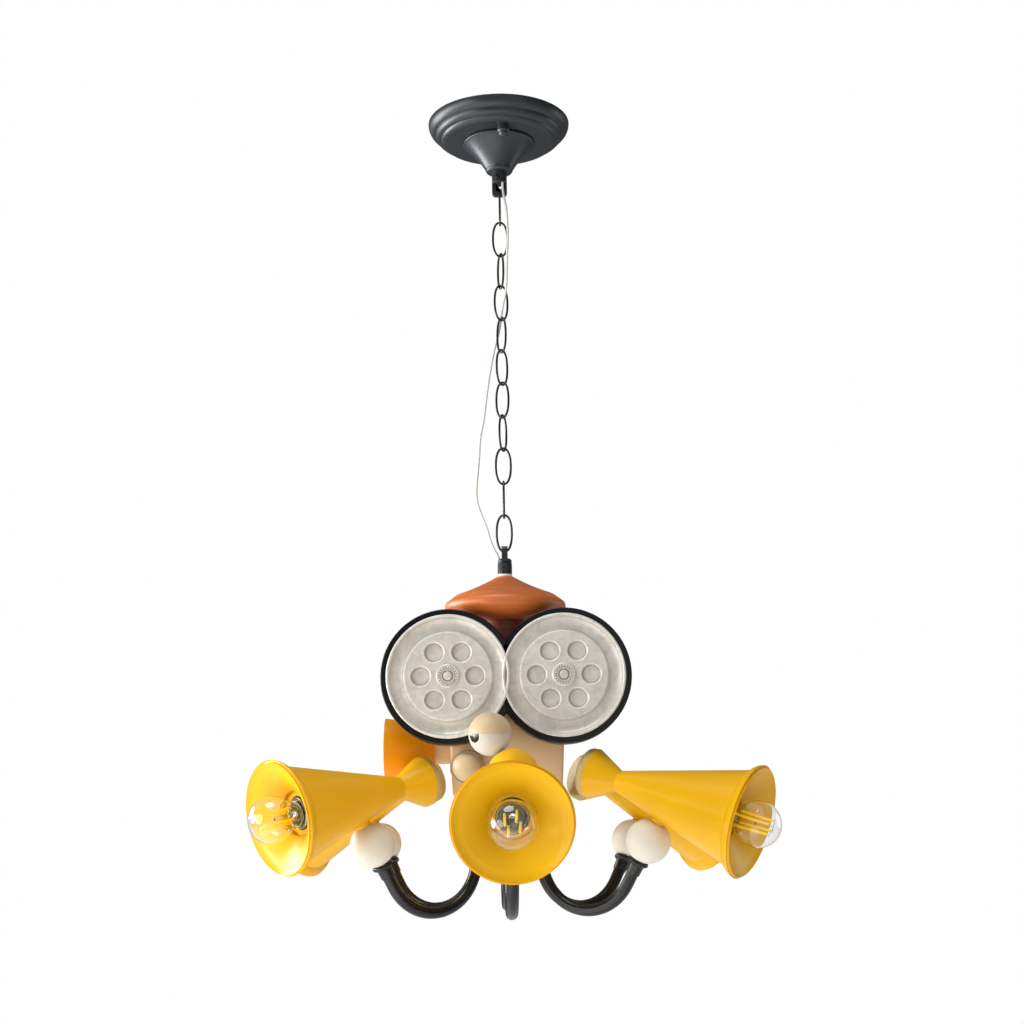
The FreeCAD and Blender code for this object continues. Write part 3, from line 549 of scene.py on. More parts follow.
finishes = {
    "canopyPaint": sprayedPaint("#141A1F", "#1D252B", 0.4, coat=0.05),
    "chainBlack": sprayedPaint("#0B0C0D", "#151718", 0.32, coat=0.05, skin=1500.0),
    "armBlack": sprayedPaint("#080909", "#101111", 0.28, coat=0.05, depth=0.03, skin=500.0, shine=0.4),
    "hornYellow": sprayedPaint("#E6AB01", "#EDB402", 0.33, coat=0.03, depth=0.06, shine=0.28),
    "sideOrange": sprayedPaint("#E69406", "#EC9C0A", 0.38, coat=0.03, depth=0.08, shine=0.22),
    "hatTimber": lacqueredTimber("#B95B1F", "#CD7132", 0.42, (3, 3, 26), 0.06, 10.0, 60.0),
    "neckTimber": lacqueredTimber("#843828", "#9B4A37", 0.5, (3, 3, 20)),
    "blockPaint": sprayedPaint("#E0BA8A", "#E9C596", 0.5, depth=0.1, skin=600.0, shine=0.35),
    "nosePaint": sprayedPaint("#C8AF8B", "#CFB896", 0.45, depth=0.1, skin=600.0, shine=0.4),
    "ballPaint": sprayedPaint("#D9D3C2", "#E0DACB", 0.5, depth=0.08, skin=700.0, shine=0.4),
    "eyeWhite": sprayedPaint("#C8C5BB", "#D0CDC4", 0.36, coat=0.1, depth=0.04, shine=0.4),
    "pupilBlack": sprayedPaint("#0B0C0E", "#16181B", 0.2, coat=0.5, depth=0.02),
    "pupilRing": sprayedPaint("#F2EBDD", "#F8F3E8", 0.35, depth=0.02),
    "reelBlack": sprayedPaint("#050606", "#0B0C0C", 0.32, coat=0.05, shine=0.35),
    # the third colour is painted shade for the hollows, the fourth a painted highlight for sharp edges
    "reelCast": castResin("#C3C0B7", "#DDD9D1", "#8E877B", "#F4F2EE"),
    "capTan": lacqueredTimber("#BEA360", "#C9B06E", 0.45, (30, 30, 1), 0.05, 8.0, 40.0),
    "zinc": platedMetal("#A9AAA8", "#C4C5C2", 0.32),
    "nickel": platedMetal("#7E7D76", "#A3A199", 0.25),
    "holderMetal": platedMetal("#83826C", "#A3A18A", 0.26, (30, 30, 1)),
    "seatMetal": platedMetal("#45432F", "#767153", 0.38),
    "terminalPlastic": sprayedPaint("#E6E4DE", "#F0EEE8", 0.5),
    "flexSkin": sprayedPaint("#C9C5BC", "#D8D5CD", 0.38, coat=0.1, skin=1200.0),
    "washerWhite": sprayedPaint("#E6E2DA", "#F0ECE4", 0.5),
    "bulbGlass": clearGlass("#FFFFFF"),
    # the filaments' faint emission is a painted glow
    "filament": glowingPaint("#F6BC00", "#FFCC10", 0.4, 0.35),
}
for name, material in finishes.items():
    material.name = name
print("stage: finishes made")


def addCamera():
    # place in mm, angles in radians and focal length in pixels, fitted to the photo
    values = {"place": (8.55, -1668.0, -777.0), "pitch": 0.197, "roll": -0.015,
        "focal": 1589.0, "pixels": 1024}
    camera = bpy.data.cameras.new("viewCamera")
    camera.sensor_width = 36.0
    camera.lens = values["focal"] * camera.sensor_width / values["pixels"]
    camera.clip_start = 0.01
    camera.clip_end = 50
    thing = placed("viewCamera", camera)
    thing.location = Vector(values["place"]) * mm
    tipped = Matrix.Rotation(pi / 2 + values["pitch"], 4, "X") @ Matrix.Rotation(values["roll"], 4, "Z")
    thing.rotation_euler = tipped.to_euler()
    bpy.context.scene.camera = thing


def addLight(name, place, aim, size, watts):
    lamp = bpy.data.lights.new(name, "AREA")
    lamp.shape = "DISK"
    lamp.size = size
    lamp.energy = watts
    thing = placed(name, lamp)
    thing.location = place
    thing.rotation_euler = (Vector(aim) - Vector(place)).to_track_quat("-Z", "Y").to_euler()


def addFloor():
    values = {"level": -1.5, "radius": 2.6, "tone": (0.86, 0.86, 0.85, 1), "rough": 0.8, "glow": 0.2}
    shape = bmesh.new()
    bmesh.ops.create_circle(shape, cap_ends=True, segments=96, radius=values["radius"])
    bmesh.ops.translate(shape, verts=shape.verts, vec=(0, 0, values["level"]))
    floor = placed("paleFloor", plainMesh(shape))
    floor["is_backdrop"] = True
    material = bpy.data.materials.new("paleFloor")
    material.use_nodes = True
    fill(material.node_tree, material.node_tree.nodes["Principled BSDF"], {
        "Base Color": values["tone"], "Roughness": values["rough"],
        "Emission Color": (1, 1, 1, 1), "Emission Strength": values["glow"]})
    floor.data.materials.append(material)


def addSky():
    # white to the eye, dimmer as light and dimmer still in mirrored rays
    values = {"sky": 0.26, "mirrorShade": 0.12}
    world = bpy.data.worlds.new("studio")
    world.use_nodes = True
    bpy.context.scene.world = world
    tree = world.node_tree
    rays = tree.nodes.new("ShaderNodeLightPath").outputs
    seen = mathNode(tree, "MAXIMUM", rays["Is Camera Ray"], rays["Is Transmission Ray"])
    shade = mathNode(tree, "MULTIPLY", rays["Is Glossy Ray"], values["mirrorShade"])
    strength = mathNode(tree, "SUBTRACT", rangeNode(tree, seen, 0.0, 1.0, values["sky"], 1.0), shade)
    fill(tree, tree.nodes["Background"], {"Strength": strength, "Color": (1, 1, 1, 1)})


addCamera()
addFloor()
addSky()
middle = (0, 0, -0.6)
lights = {  # place, aim, size and watts
    "keyLight": ((-1.8, -1.15, -0.65), middle, 1.4, 21.5),
    "lowLight": ((-0.3, -0.55, -1.42), middle, 1.2, 4),
    "frontLight": ((0.9, -2.3, -0.5), middle, 2.4, 7),
    "topLight": ((-0.4, -0.6, 1.2), middle, 1.3, 22),
    "rearLight": ((-1.25, 0.5, -0.38), (0, 0, -0.1), 0.7, 18),
    "rightLight": ((2.0, 0.7, -0.5), middle, 1.2, 5),
    "sideLight": ((-2.2, -0.1, -0.6), middle, 1.0, 28),
}
for name, values in lights.items():
    addLight(name, *values)
bpy.context.scene.view_settings.view_transform = "Standard"
print("stage: camera and studio")

flexRun = {  # neighbouring stretches share a point
    "diameter": 2.6,
    "points": [(3.4, -5.4, -71.0), (3.4, -5.4, -79.6), (5.2, -6.8, -90.6), (7.15, -8.15, -101.6),
               (7.9, -9.0, -110.9), (8.7, -9.2, -134.3), (7.3, -9.0, -157.5), (6.2, -8.0, -197.5),
               (0.9, 1.6, -215.7), (-1.6, 8.6, -237.0), (-7.4, 12.0, -255.1), (-13.2, 9.6, -284.6),
               (-18.0, 8.2, -317.5), (-20.4, 8.0, -339.9), (-25.0, 8.3, -358.9), (-26.3, 8.0, -384.5),
               (-28.7, 7.0, -406.9), (-30.0, 6.0, -426.9), (-25.8, 5.0, -442.6), (-19.0, 3.1, -459.5),
               (-15.6, 1.7, -472.8), (-12.2, 0.9, -482.3), (-8.9, 0.3, -488.2), (-6.3, 0.0, -493.2),
               (-5.8, 0.0, -498.3)],
}


def curveThrough(points, kind):
    curve = bpy.data.curves.new("curve", "CURVE")
    curve.dimensions = "3D"
    spline = curve.splines.new(kind)
    spline.points.add(len(points) - 1)
    for point, place in zip(spline.points, points):
        point.co = (*[c * mm for c in place], 1)
    return curve


def flexPiece(name, points, node):
    curve = curveThrough(points, "NURBS")
    curve.resolution_u = 16
    curve.splines[0].order_u = 3
    curve.splines[0].use_endpoint_u = True
    path = [tuple(v.co) for v in workedMesh(curve).vertices]
    curve.bevel_depth = flexRun["diameter"] / 2 * mm
    curve.bevel_resolution = 5
    curve.use_fill_caps = True
    flex = piece(name, closedMesh(opened(workedMesh(curve))), "flexSkin", None)
    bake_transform(flex)
    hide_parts(node)


flexPiece("flexUpper", flexRun["points"][:4], "flex_top")
flexPiece("flexMiddle", flexRun["points"][3:20], "flex_mid")
flexPiece("flexLower", flexRun["points"][19:], "flex_tail")
print("stage: flex")

canopy = {"radius": 78.8, "wall": 1.2, "bands": ((11.8, 7.6, 1.2), (6.5, 6.6, 1.2), (4.2, 6.0, 0.0)),
    "bulge": 0.14, "topRound": 0.5, "lipRound": 0.7, "barYaw": 6.5, "screwGap": 94.0}
cone = {"radius": 39.9, "bead": 1.6, "beadRound": 0.3, "bow": 1.6, "end": 15.2, "endRound": 3.8,
    "endBow": 0.95}
capNut = {"radius": 6.6, "height": 13.0, "skirt": 5.9, "skirtRound": 0.8, "dome": 5.3, "thread": 7.8,
    "bore": 2.1}


def makeCanopy():
    stops, radius, level = [], canopy["radius"], 0
    for height, step, lip in canopy["bands"]:  # each band bulges down to its own lip
        high = (radius, level)
        radius, level = radius - step, level - height
        low = (radius + lip, level)
        bulge = bow(high, low, canopy["bulge"] * hypot(low[0] - high[0], height))
        stops += [(*high, canopy["topRound"]), bulge, (*low, canopy["lipRound"])]
    wall, plate = canopy["wall"], levels["plate"]
    stops += [(rodHole, plate), (rodHole, plate + wall), (radius - wall, plate + wall),
        (canopy["radius"] - wall, 0)]
    piece("canopyPan", turnedMesh(stops, 160), "canopyPaint", "canopy", "canopy_pan")


def makeCone():
    wall, plate, low = canopy["wall"], levels["plate"], levels["coneEnd"]
    bead, sideBow, endBow = cone["bead"], cone["bow"], cone["endBow"]
    base = (cone["radius"] - bead, plate - 2 * bead)
    top, turned = (base[0], plate), (cone["end"], low + cone["endRound"])
    end = (cone["end"] - cone["endRound"], low)
    inBase, inTurned = (base[0] - wall, base[1]), (turned[0] - wall, turned[1])
    inEnd = (end[0] - wall / 2, low + wall)
    stops = [top, bow(top, base, bead), (*base, cone["beadRound"]), bow(base, turned, -sideBow), turned,
        bow(turned, end, endBow), end, (rodHole, low), (rodHole, low + wall), inEnd,
        bow(inEnd, inTurned, -endBow), inTurned, bow(inTurned, inBase, sideBow), inBase, (inBase[0], plate)]
    piece("canopyCone", turnedMesh(stops, 128), "canopyPaint", "canopy", "canopy_cone")


def makeCapNuts():
    r, d, h = capNut["radius"], capNut["dome"], capNut["height"]
    bore, thread, bulge = capNut["bore"], -capNut["thread"], d * 0.707  # the sine of 45 degrees
    stops = [(bore, 0), (r, 0, 0.5), (r, -capNut["skirt"], capNut["skirtRound"]), (d, d - h, 0.3),
        ("via", bulge, d - h - bulge), (0, -h), (0, thread), (bore, thread)]
    nut = movedMesh(turnedMesh(stops, 48), shift(0, canopy["screwGap"] / 2, levels["plate"]))
    piece("capNuts", around(nut, 2, canopy["barYaw"]), "canopyPaint", "canopy", "cap_nuts")


stirrup = {"half": 8.3, "slot": 4.3, "depth": 3.2, "corner": 4.5, "cornerVia": 1.3, "slotCorner": 1.2}
hanger = {"radius": 8.3, "nose": 6.8, "noseHeight": 1.0, "bar": 2.2, "overlap": 0.5, "edge": 0.9,
    "screw": [(0, 0), (2.0, 0), (2.0, 1.4, 0.3), (0.9, 1.4), (0.7, 0.6), (0, 0.6)],
    "screwAt": (-2.4, -7.9, -64.5)}


def stirrupMesh(barLow, barHigh, base, edge):
    # a flat loop with rounded ends round a slot, standing in the XZ plane
    half, slot, corner, via = stirrup["half"], stirrup["slot"], stirrup["corner"], stirrup["cornerVia"]
    small, depth = stirrup["slotCorner"], stirrup["depth"]
    stops = [(-half, base), (-half, barLow + corner), ("via", -half + via, barLow + via),
        (-half + corner, barLow), (half - corner, barLow), ("via", half - via, barLow + via),
        (half, barLow + corner), (half, base)]
    hole = [(slot, base), (slot, barHigh + small), (slot - small, barHigh), (small - slot, barHigh),
        (-slot, barHigh + small), (-slot, base)]
    outline = tracedOutline(stops + hole, 6)
    shape = bmesh.new()
    front, back = [[shape.verts.new((x * mm, y * mm, z * mm)) for x, z in outline] for y in (-depth, depth)]
    shape.faces.new(front)
    shape.faces.new(back[::-1])
    for i in range(len(front)):
        j = (i + 1) % len(front)
        shape.faces.new((front[i], back[i], back[j], front[j]))
    bmesh.ops.triangulate(shape, faces=[f for f in shape.faces if len(f.verts) > 4])
    return bevelled(closedMesh(shape), edge, 3, 50)


def makeHanger():
    top, end, r = levels["coneEnd"], levels["collarEnd"], hanger["radius"]
    collar = turnedMesh([(0, top), (r, top), (r, end + hanger["noseHeight"], 0.6),
        (hanger["nose"], end, 0.3), (0, end)], 64)
    loop = stirrupMesh(levels["hangerBar"] - hanger["bar"], levels["hangerBar"] + hanger["bar"],
        end + hanger["overlap"], hanger["edge"])
    screw = movedMesh(turnedMesh(hanger["screw"], 24), shift(*hanger["screwAt"]) @ turn(90, "X"))
    mesh = joinedMesh([collar, loop, screw])
    piece("hangerLoop", mesh, "canopyPaint", "canopy", "hanger_loop")


makeCanopy()
makeCone()
makeCapNuts()
makeHanger()
print("stage: canopy and hanger")

chain = {"length": 41.9, "width": 18.5, "wire": 2.4, "fullness": 2.27, "first": -99.25, "pitch": 36.8,
    "yaws": (90, 8, 112, 30, 125, 45, 145, 63, 5, 90, 0)}


def makeLinks(name, which, body, node):
    points = bpy.data.meshes.new(name + "Points")
    points.from_pydata([(0, 0, (chain["first"] - chain["pitch"] * i) * mm) for i in which], [], [])
    yaw = points.attributes.new("yaw", "FLOAT", "POINT")
    for k, i in enumerate(which):
        yaw.data[k].value = radians(chain["yaws"][i])
    mesh = grown("chainLoops", points, {"Link Length": chain["length"] * mm,
        "Link Width": chain["width"] * mm, "Wire": chain["wire"] * mm, "Fullness": chain["fullness"]})
    piece(name, mesh, "chainBlack", body, node, 60)


makeLinks("linkFirst", (0,), "link_a", "link_a")
makeLinks("linksMiddle", range(1, 10), "chain", "chain_links")
makeLinks("linkLast", (10,), "link_k", "link_k")
print("stage: chain")

lowerLoop = {"bar": 1.85, "base": 15.4, "centre": 15.35, "edge": 0.8, "seat": 7.4, "seatHeight": 2.6,
    "seatTop": 5.6, "seatEnd": 4.0}
fitting = {"radius": 7.65, "height": 13.0, "round": 0.5, "ribs": 36, "ribWidth": 0.62, "ribDepth": 0.35,
    "ribSunk": 0.3, "ribInset": 1.2, "ribEdge": 0.15}
washer = {"bore": 5.1, "radius": 7.9, "round": 0.4}


def makeFitting():
    top = levels["coupling"]
    loop = stirrupMesh(-lowerLoop["bar"], lowerLoop["bar"], lowerLoop["base"], lowerLoop["edge"])
    loop.transform(shift(0, 0, top + lowerLoop["centre"]) @ turn(90, "Z") @ turn(180, "X"))
    r, end = lowerLoop["seat"], top + lowerLoop["seatEnd"]
    seat = turnedMesh([(0, top), (r, top), (r, top + lowerLoop["seatHeight"], 0.6),
        (lowerLoop["seatTop"], end, 0.4), (0, end)], 48)
    piece("lowerLoop", joinedMesh([loop, seat]), "canopyPaint", "lamp", "lower_loop")
    r, end = fitting["radius"] - fitting["ribDepth"], top - fitting["height"]
    half, inset, edge = fitting["ribWidth"] / 2, fitting["ribInset"], fitting["round"]
    body = turnedMesh(sleeve(0, r, top, end, edge), 72)
    rib = boxMesh((r - fitting["ribSunk"], -half, end + inset), (fitting["radius"], half, top - inset))
    ribs = around(bevelled(rib, fitting["ribEdge"], 1), fitting["ribs"], 0)
    piece("coupling", joinedMesh([body, ribs]), "canopyPaint", "lamp", "coupling")
    ring = sleeve(washer["bore"], washer["radius"], levels["hat"], levels["washer"], washer["round"])
    piece("washer", turnedMesh(ring, 64), "washerWhite", "lamp", "washer")


hat = {"top": 8.5, "shoulder": (52.0, -20.3), "radius": 63.8, "edgeDrop": 32.5, "edgeHeight": 10.0,
    "edgeInset": 2.0, "height": 48.3, "base": 40.0, "hollow": 1.2, "underBow": 2.2,
    "rounds": (0.8, 9.0, 3.0, 2.5, 0.8), "neck": 26.0, "neckRound": 0.5}


def makeHat():
    top, shoulder, base = (hat["top"], 0), hat["shoulder"], (hat["base"], -hat["height"])
    high = (hat["radius"] - hat["edgeInset"], hat["edgeHeight"] / 2 - hat["edgeDrop"])
    low = (high[0], high[1] - hat["edgeHeight"])
    corners = [(*stop, edge) for stop, edge in zip((top, shoulder, high, low, base), hat["rounds"])]
    stops = [(rodHole, 0), corners[0], bow(top, shoulder, -hat["hollow"]), corners[1], corners[2],
        ("via", hat["radius"], -hat["edgeDrop"]), corners[3], bow(low, base, hat["underBow"]), corners[4],
        (rodHole, -hat["height"])]
    mesh = movedMesh(turnedMesh(stops, 160, 20), shift(0, 0, levels["hat"]))
    piece("hat", mesh, "hatTimber", "lamp", "hat")
    r, high, low = hat["neck"], levels["hatBase"], levels["block"]
    neck = turnedMesh([(rodHole, high), (r, high), (r, low, hat["neckRound"]), (rodHole, low)])
    piece("hatNeck", neck, "neckTimber", "lamp", "hat_neck")


makeFitting()
makeHat()
print("stage: fitting and hat")

block = {"top": 124.0, "base": 111.0, "front": 38.0, "back": 57.0, "round": 3.0}


def makeBlock():
    shape = bmesh.new()
    corners, front, back = [], -block["front"], block["back"]
    for half, z in ((block["base"] / 2, levels["hub"]), (block["top"] / 2, levels["block"])):
        for x, y in ((-half, front), (half, front), (half, back), (-half, back)):
            corners.append(shape.verts.new((x * mm, y * mm, z * mm)))
    for face in ((0, 1, 2, 3), (4, 5, 6, 7), (0, 1, 5, 4), (1, 2, 6, 5), (2, 3, 7, 6), (3, 0, 4, 7)):
        shape.faces.new([corners[i] for i in face])
    mesh = bevelled(closedMesh(shape), block["round"], 5)
    piece("headBlock", mesh, "blockPaint", "lamp", "head_block", 40)


reel = {"spacing": 117.0, "drum": 68.7, "drumDepth": 26.0, "drumRound": 1.5, "drumRoundIn": 0.45,
    "face": 62.3, "rimWidth": 2.6, "rimHeight": 7.0, "rimStep": 1.6, "rimEdge": (-0.9, 0.3),
    "rimCrown": (1.2, 1.4, 0.5), "groove": 0.8, "grooveStart": 0.22, "groovePower": 0.6, "plateau": 45.5,
    "plateauHeight": 5.4, "plateauEdge": (-1.6, 1.0), "count": 6, "recessCircle": 27.5, "recess": 10.0,
    "recessDepth": 3.0, "recessEdge": (-1.4, 0.2), "recessBead": (0.35, 0.9, 0.7), "recessReach": 3.0,
    "around": 288, "coarse": [0.0, 4.0, 8.0, 12.0], "fineFrom": 13.0, "fineStep": 0.55, "fineGap": 0.4,
    "lastRing": 0.3, "flatRim": 0.2, "skirt": 0.5}
hubCap = {
    "profile": [(0, 0), (12, 0), (12, 1.0, 0.4), (11, 1.8, 0.4), (9.8, 1.8, 0.2), (9.4, 1.3), (7.4, 1.3),
        (7.0, 1.7, 0.2), (6.2, 1.7, 0.2), (5.6, 1.1), (4.5, 1.1), (4.3, 2.0, 0.4), (2.4, 2.4, 0.4), (0, 2.5)],
    "bead": [(0, 1.1), (0.95, 1.1), (0.95, 2.2, 0.2), (0, 2.4)],
    "beads": 20, "beadCircle": 8.7, "firstBead": 4,
}


def facingFront(x, reach, z):
    return shift(x, -reach, z) @ turn(90, "X")


def smoothStep(low, high, value):
    t = max(0.0, min(1.0, (value - low) / (high - low)))
    return t * t * (3 - 2 * t)


def edgeStep(name, centre, value):
    low, high = reel[name]
    return smoothStep(centre + low, centre + high, value)


def reliefHeight(r, angle):
    inRim, rim, plateau = reel["face"] - reel["rimWidth"], reel["rimHeight"], reel["plateau"]
    across = max(0.0, min(1.0, (r - plateau) / (inRim - plateau)))
    hollow = sin(pi * (reel["grooveStart"] + (1 - reel["grooveStart"]) * across)) ** reel["groovePower"]
    ground = rim - reel["rimStep"] - (rim - reel["rimStep"] - reel["groove"]) * hollow
    outside = edgeStep("plateauEdge", plateau, r)
    height = ground * outside + reel["plateauHeight"] * (1 - outside)
    rise = edgeStep("rimEdge", inRim, r)
    crown, spread, drop = reel["rimCrown"]
    height = height * (1 - rise) + (rim - drop * ((r - inRim - crown) / spread) ** 2) * rise
    bead, beadAt, beadWidth = reel["recessBead"]
    for i in range(reel["count"]):
        a = 2 * pi * i / reel["count"]
        x = r * cos(angle) - reel["recessCircle"] * cos(a)
        y = r * sin(angle) - reel["recessCircle"] * sin(a)
        away = hypot(x, y)
        if away < reel["recess"] + reel["recessReach"]:
            height -= reel["recessDepth"] * (1 - edgeStep("recessEdge", reel["recess"], away))
            height += bead * exp(-((away - reel["recess"] - beadAt) / beadWidth) ** 2)
    return height


def reliefMesh():
    face, count = reel["face"], reel["around"]
    steps = int((face - reel["fineGap"] - reel["fineFrom"]) / reel["fineStep"]) + 1
    fine = [reel["fineFrom"] + reel["fineStep"] * k for k in range(steps)]
    angles = [2 * pi * k / count for k in range(count)]
    rings = []
    for r in reel["coarse"] + fine + [face - reel["lastRing"], face]:
        inside, drop = min(r, face - reel["flatRim"]), reel["skirt"] if r == face else 0
        rings.append(ringPoints(r, [reliefHeight(inside, a) - drop for a in angles]))
    return ringedMesh(rings + [ringPoints(face, [0] * count), [(0, 0, 0)]])


def makeReels():
    sides = [-reel["spacing"] / 2, reel["spacing"] / 2]
    r, d, edge, inner = reel["drum"], reel["drumDepth"], reel["drumRound"], reel["drumRoundIn"]
    drum = turnedMesh([(0, 0), (r - edge, 0), ("via", r - inner, inner), (r, edge), (r, d - edge),
        ("via", r - inner, d - inner), (r - edge, d), (0, d)], 160, 5)
    bead = movedMesh(turnedMesh(hubCap["bead"], 12), shift(hubCap["beadCircle"], 0, 0))
    hub = [turnedMesh(hubCap["profile"], 72), around(bead, hubCap["beads"], hubCap["firstBead"])]
    front = block["front"] + d
    for name, meshes, reach, finish, node, slot, angle in (
        ("reelBacks", [drum], block["front"], "reelBlack", "reel_backs", "reel_black", 32),
        ("reelFaces", [reliefMesh()], front, "reelCast", "reel_faces", "reel_cream", 60),
        ("reelHubCaps", hub, front + reel["plateauHeight"], "reelCast", "reel_hub_caps", "reel_cream", 45),
    ):
        both = [movedMesh(mesh, facingFront(x, reach, levels["reel"])) for x in sides for mesh in meshes]
        piece(name, joinedMesh(both), finish, "lamp", node, angle)


eye = {"x": -16.4, "rise": 59.2, "reach": 51.6, "radius": 21.3, "lidRise": 1.9, "lidTilt": 7.0,
    "lidProud": 0.25, "lidGap": 0.2, "lidEdge": 0.35, "peg": 4.0, "pegLength": 34.0, "pupil": 6.8,
    "pupilRim": 7.9, "pupilProud": 0.5, "pupilRimProud": 0.25, "pupilTurn": 47.0, "pupilDip": 6.0,
    "pupilSunk": 0.6, "pupilGap": 0.25}


def makeEye():
    centre = Vector((eye["x"], -block["front"] - eye["reach"], levels["hub"] + eye["rise"]))
    up = (turn(eye["lidTilt"], "X") @ Vector((0, 0, 1, 0))).to_3d()
    seam = centre + up * eye["lidRise"]
    ball = cutMesh(ballMesh(eye["radius"], centre, 128, 64), seam, up)
    peg = turnedMesh(sleeve(0, eye["peg"], 0, eye["pegLength"]), 32)
    peg.transform(facingFront(eye["x"], block["front"], centre.z))
    piece("eyeball", joinedMesh([ball, peg]), "eyeWhite", "lamp", "eyeball")
    shell = ballMesh(eye["radius"] + eye["lidProud"], centre, 128, 64)
    lid = bevelled(cutMesh(shell, seam - up * eye["lidGap"], -up), eye["lidEdge"], 2, 40)
    piece("eyelid", lid, "nosePaint", "lamp", "eyelid", 50)
    sideways, dip, steps = radians(eye["pupilTurn"]), radians(eye["pupilDip"]), 10
    way = Vector((-sin(sideways) * cos(dip), -cos(sideways) * cos(dip), -sin(dip)))
    facing = Matrix.Translation(centre * mm) @ way.to_track_quat("Z", "Y").to_matrix().to_4x4()
    for name, finish, node, slot in (("pupilRim", "pupilRing", None, "eye_white"),
            ("pupil", "pupilBlack", "pupil", "reel_black")):
        outer, inner = eye["radius"] + eye[name + "Proud"], eye["radius"] - eye["pupilSunk"]
        angles = [asin(eye[name] / eye["radius"]) * k / steps for k in range(steps + 1)]
        profile = [(outer * sin(a), outer * cos(a)) for a in angles]
        profile += [(inner * sin(a), inner * cos(a)) for a in angles[::-1]]
        patch = cutMesh(movedMesh(turnedMesh(profile, 64), facing), seam - up * eye["pupilGap"], up)
        piece(name, patch, finish, "lamp", node, 50)


nose = {"x": -40.6, "rise": 28.8, "radius": 14.5, "reach": 17.0,
    "dish": [(0, 0), (16.5, 0, 0.4), (17.5, 1, 0.4), (17.5, 3.6, 0.7), (16.5, 4.6, 0.5), (15.1, 4.0, 0.5),
        (9, 2.4, 1.0), (0, 2.2)]}


def makeNose():
    z = levels["hub"] + nose["rise"]
    ball = ballMesh(nose["radius"], (nose["x"], -block["front"] - nose["reach"], z))
    piece("noseBall", ball, "nosePaint", "lamp", "nose_ball")
    dish = movedMesh(turnedMesh(nose["dish"]), facingFront(nose["x"], block["front"], z))
    piece("noseDish", dish, "nosePaint", "lamp", "nose_dish", 50)


side = {"rise": 49.5, "back": 4.0, "neck": 17.6, "mouth": 32.7, "length": 51.0, "reach": 126.5, "wall": 1.5,
    "hollow": 2.6, "floor": 4.0, "peg": 15.0, "pegEnd": 49.0}


def makeSideHorn():
    wall, hollow, length, floor = side["wall"], side["hollow"], side["length"], side["floor"]
    mouth, neck = (side["mouth"], length), (side["neck"], 0)
    inMouth, inNeck = (mouth[0] - wall, length), (neck[0] - wall, floor)
    stops = [(0, 0), (*neck, 0.5), bow(neck, mouth, -hollow), mouth, bow(mouth, inMouth, wall / 2), inMouth,
        bow(inMouth, inNeck, hollow), (*inNeck, 1.0), (0, floor)]
    z = levels["hub"] + side["rise"]
    horn = turnedMesh(stops, 128, 20)
    horn.transform(shift(length - side["reach"], side["back"], z) @ turn(-90, "Y"))
    piece("sideHorn", horn, "sideOrange", "lamp", "side_horn")
    peg = turnedMesh(sleeve(0, side["peg"], 0, side["reach"] - length - side["pegEnd"]), 64)
    peg.transform(shift(-side["pegEnd"], side["back"], z) @ turn(-90, "Y"))
    piece("hornPeg", peg, "blockPaint", "lamp", "horn_peg")


makeBlock()
makeReels()
makeEye()
makeNose()
makeSideHorn()
print("stage: head")

arms = {"count": 6, "first": -88.3, "radius": 6.0, "foot": 38.8, "sunk": 7.5, "bend": 50.0, "leg": 47.0,
    "lean": 30.0, "outer": 48.0, "end": 6.5, "ball": 21.9, "flat": 20.6, "flange": 10.6, "flangeHeight": 4.4,
    "flangeRound": 1.3, "cup": 15.0, "cupNeck": (7.5, 0.9), "cupRadius": 7.0, "cupBore": 5.9, "boreEnd": 6.0,
    "hub": 48.0, "hubHeight": 16.0, "hubEdge": 2.0}
leanAngle = radians(arms["lean"])
bendLevel = levels["hub"] - arms["hubHeight"] - arms["leg"]
ballReach = arms["foot"] + arms["bend"] * (1 + cos(leanAngle)) + arms["outer"] * sin(leanAngle)
ballLevel = bendLevel - arms["bend"] * sin(leanAngle) + arms["outer"] * cos(leanAngle)
onOuterLeg = shift(ballReach, 0, ballLevel) @ turn(arms["lean"], "Y")


def makeArms():
    foot, bend, steps = arms["foot"], arms["bend"], 40
    angles = [pi + (pi - leanAngle) * k / steps for k in range(1, steps + 1)]
    path = [(foot, 0, levels["hub"] - arms["hubHeight"] + arms["sunk"]), (foot, 0, bendLevel)]
    path += [(foot + bend + bend * cos(a), 0, bendLevel + bend * sin(a)) for a in angles]
    x, y, z = path[-1]
    straight = arms["outer"] - arms["flat"] - arms["end"]
    path.append((x + sin(leanAngle) * straight, y, z + cos(leanAngle) * straight))
    curve = curveThrough(path, "POLY")
    values = {"Tube Radius": arms["radius"] * mm, **ringValues(arms["count"], arms["first"])}
    piece("arms", grown("sweptRound", curve, values), "armBlack", "lamp", "arms", 45)


def makeCupsAndBalls():
    top = -arms["flat"]
    low, end, flange = top - arms["flangeHeight"], top - arms["cup"], arms["flange"] - arms["flangeRound"]
    neck, drop = arms["cupNeck"]
    cup = turnedMesh([(studHole, top), (flange, top), ("via", arms["flange"], (top + low) / 2),
        (flange, low, 0.5), (neck, low - drop, 0.7), (arms["cupRadius"], end, 0.4), (arms["cupBore"], end),
        (studHole, top - arms["boreEnd"])], 64)
    ball = cutMesh(ballMesh(arms["ball"], (0, 0, 0), 96, 64), (0, 0, top), (0, 0, -1))
    for name, mesh, finish, node, slot in (("armCups", cup, "armBlack", "arm_cups", "black_steel"),
            ("woodBalls", ball, "ballPaint", "wood_balls", "cream_wood")):
        ring = around(movedMesh(mesh, onOuterLeg), arms["count"], arms["first"])
        piece(name, ring, finish, "lamp", node)


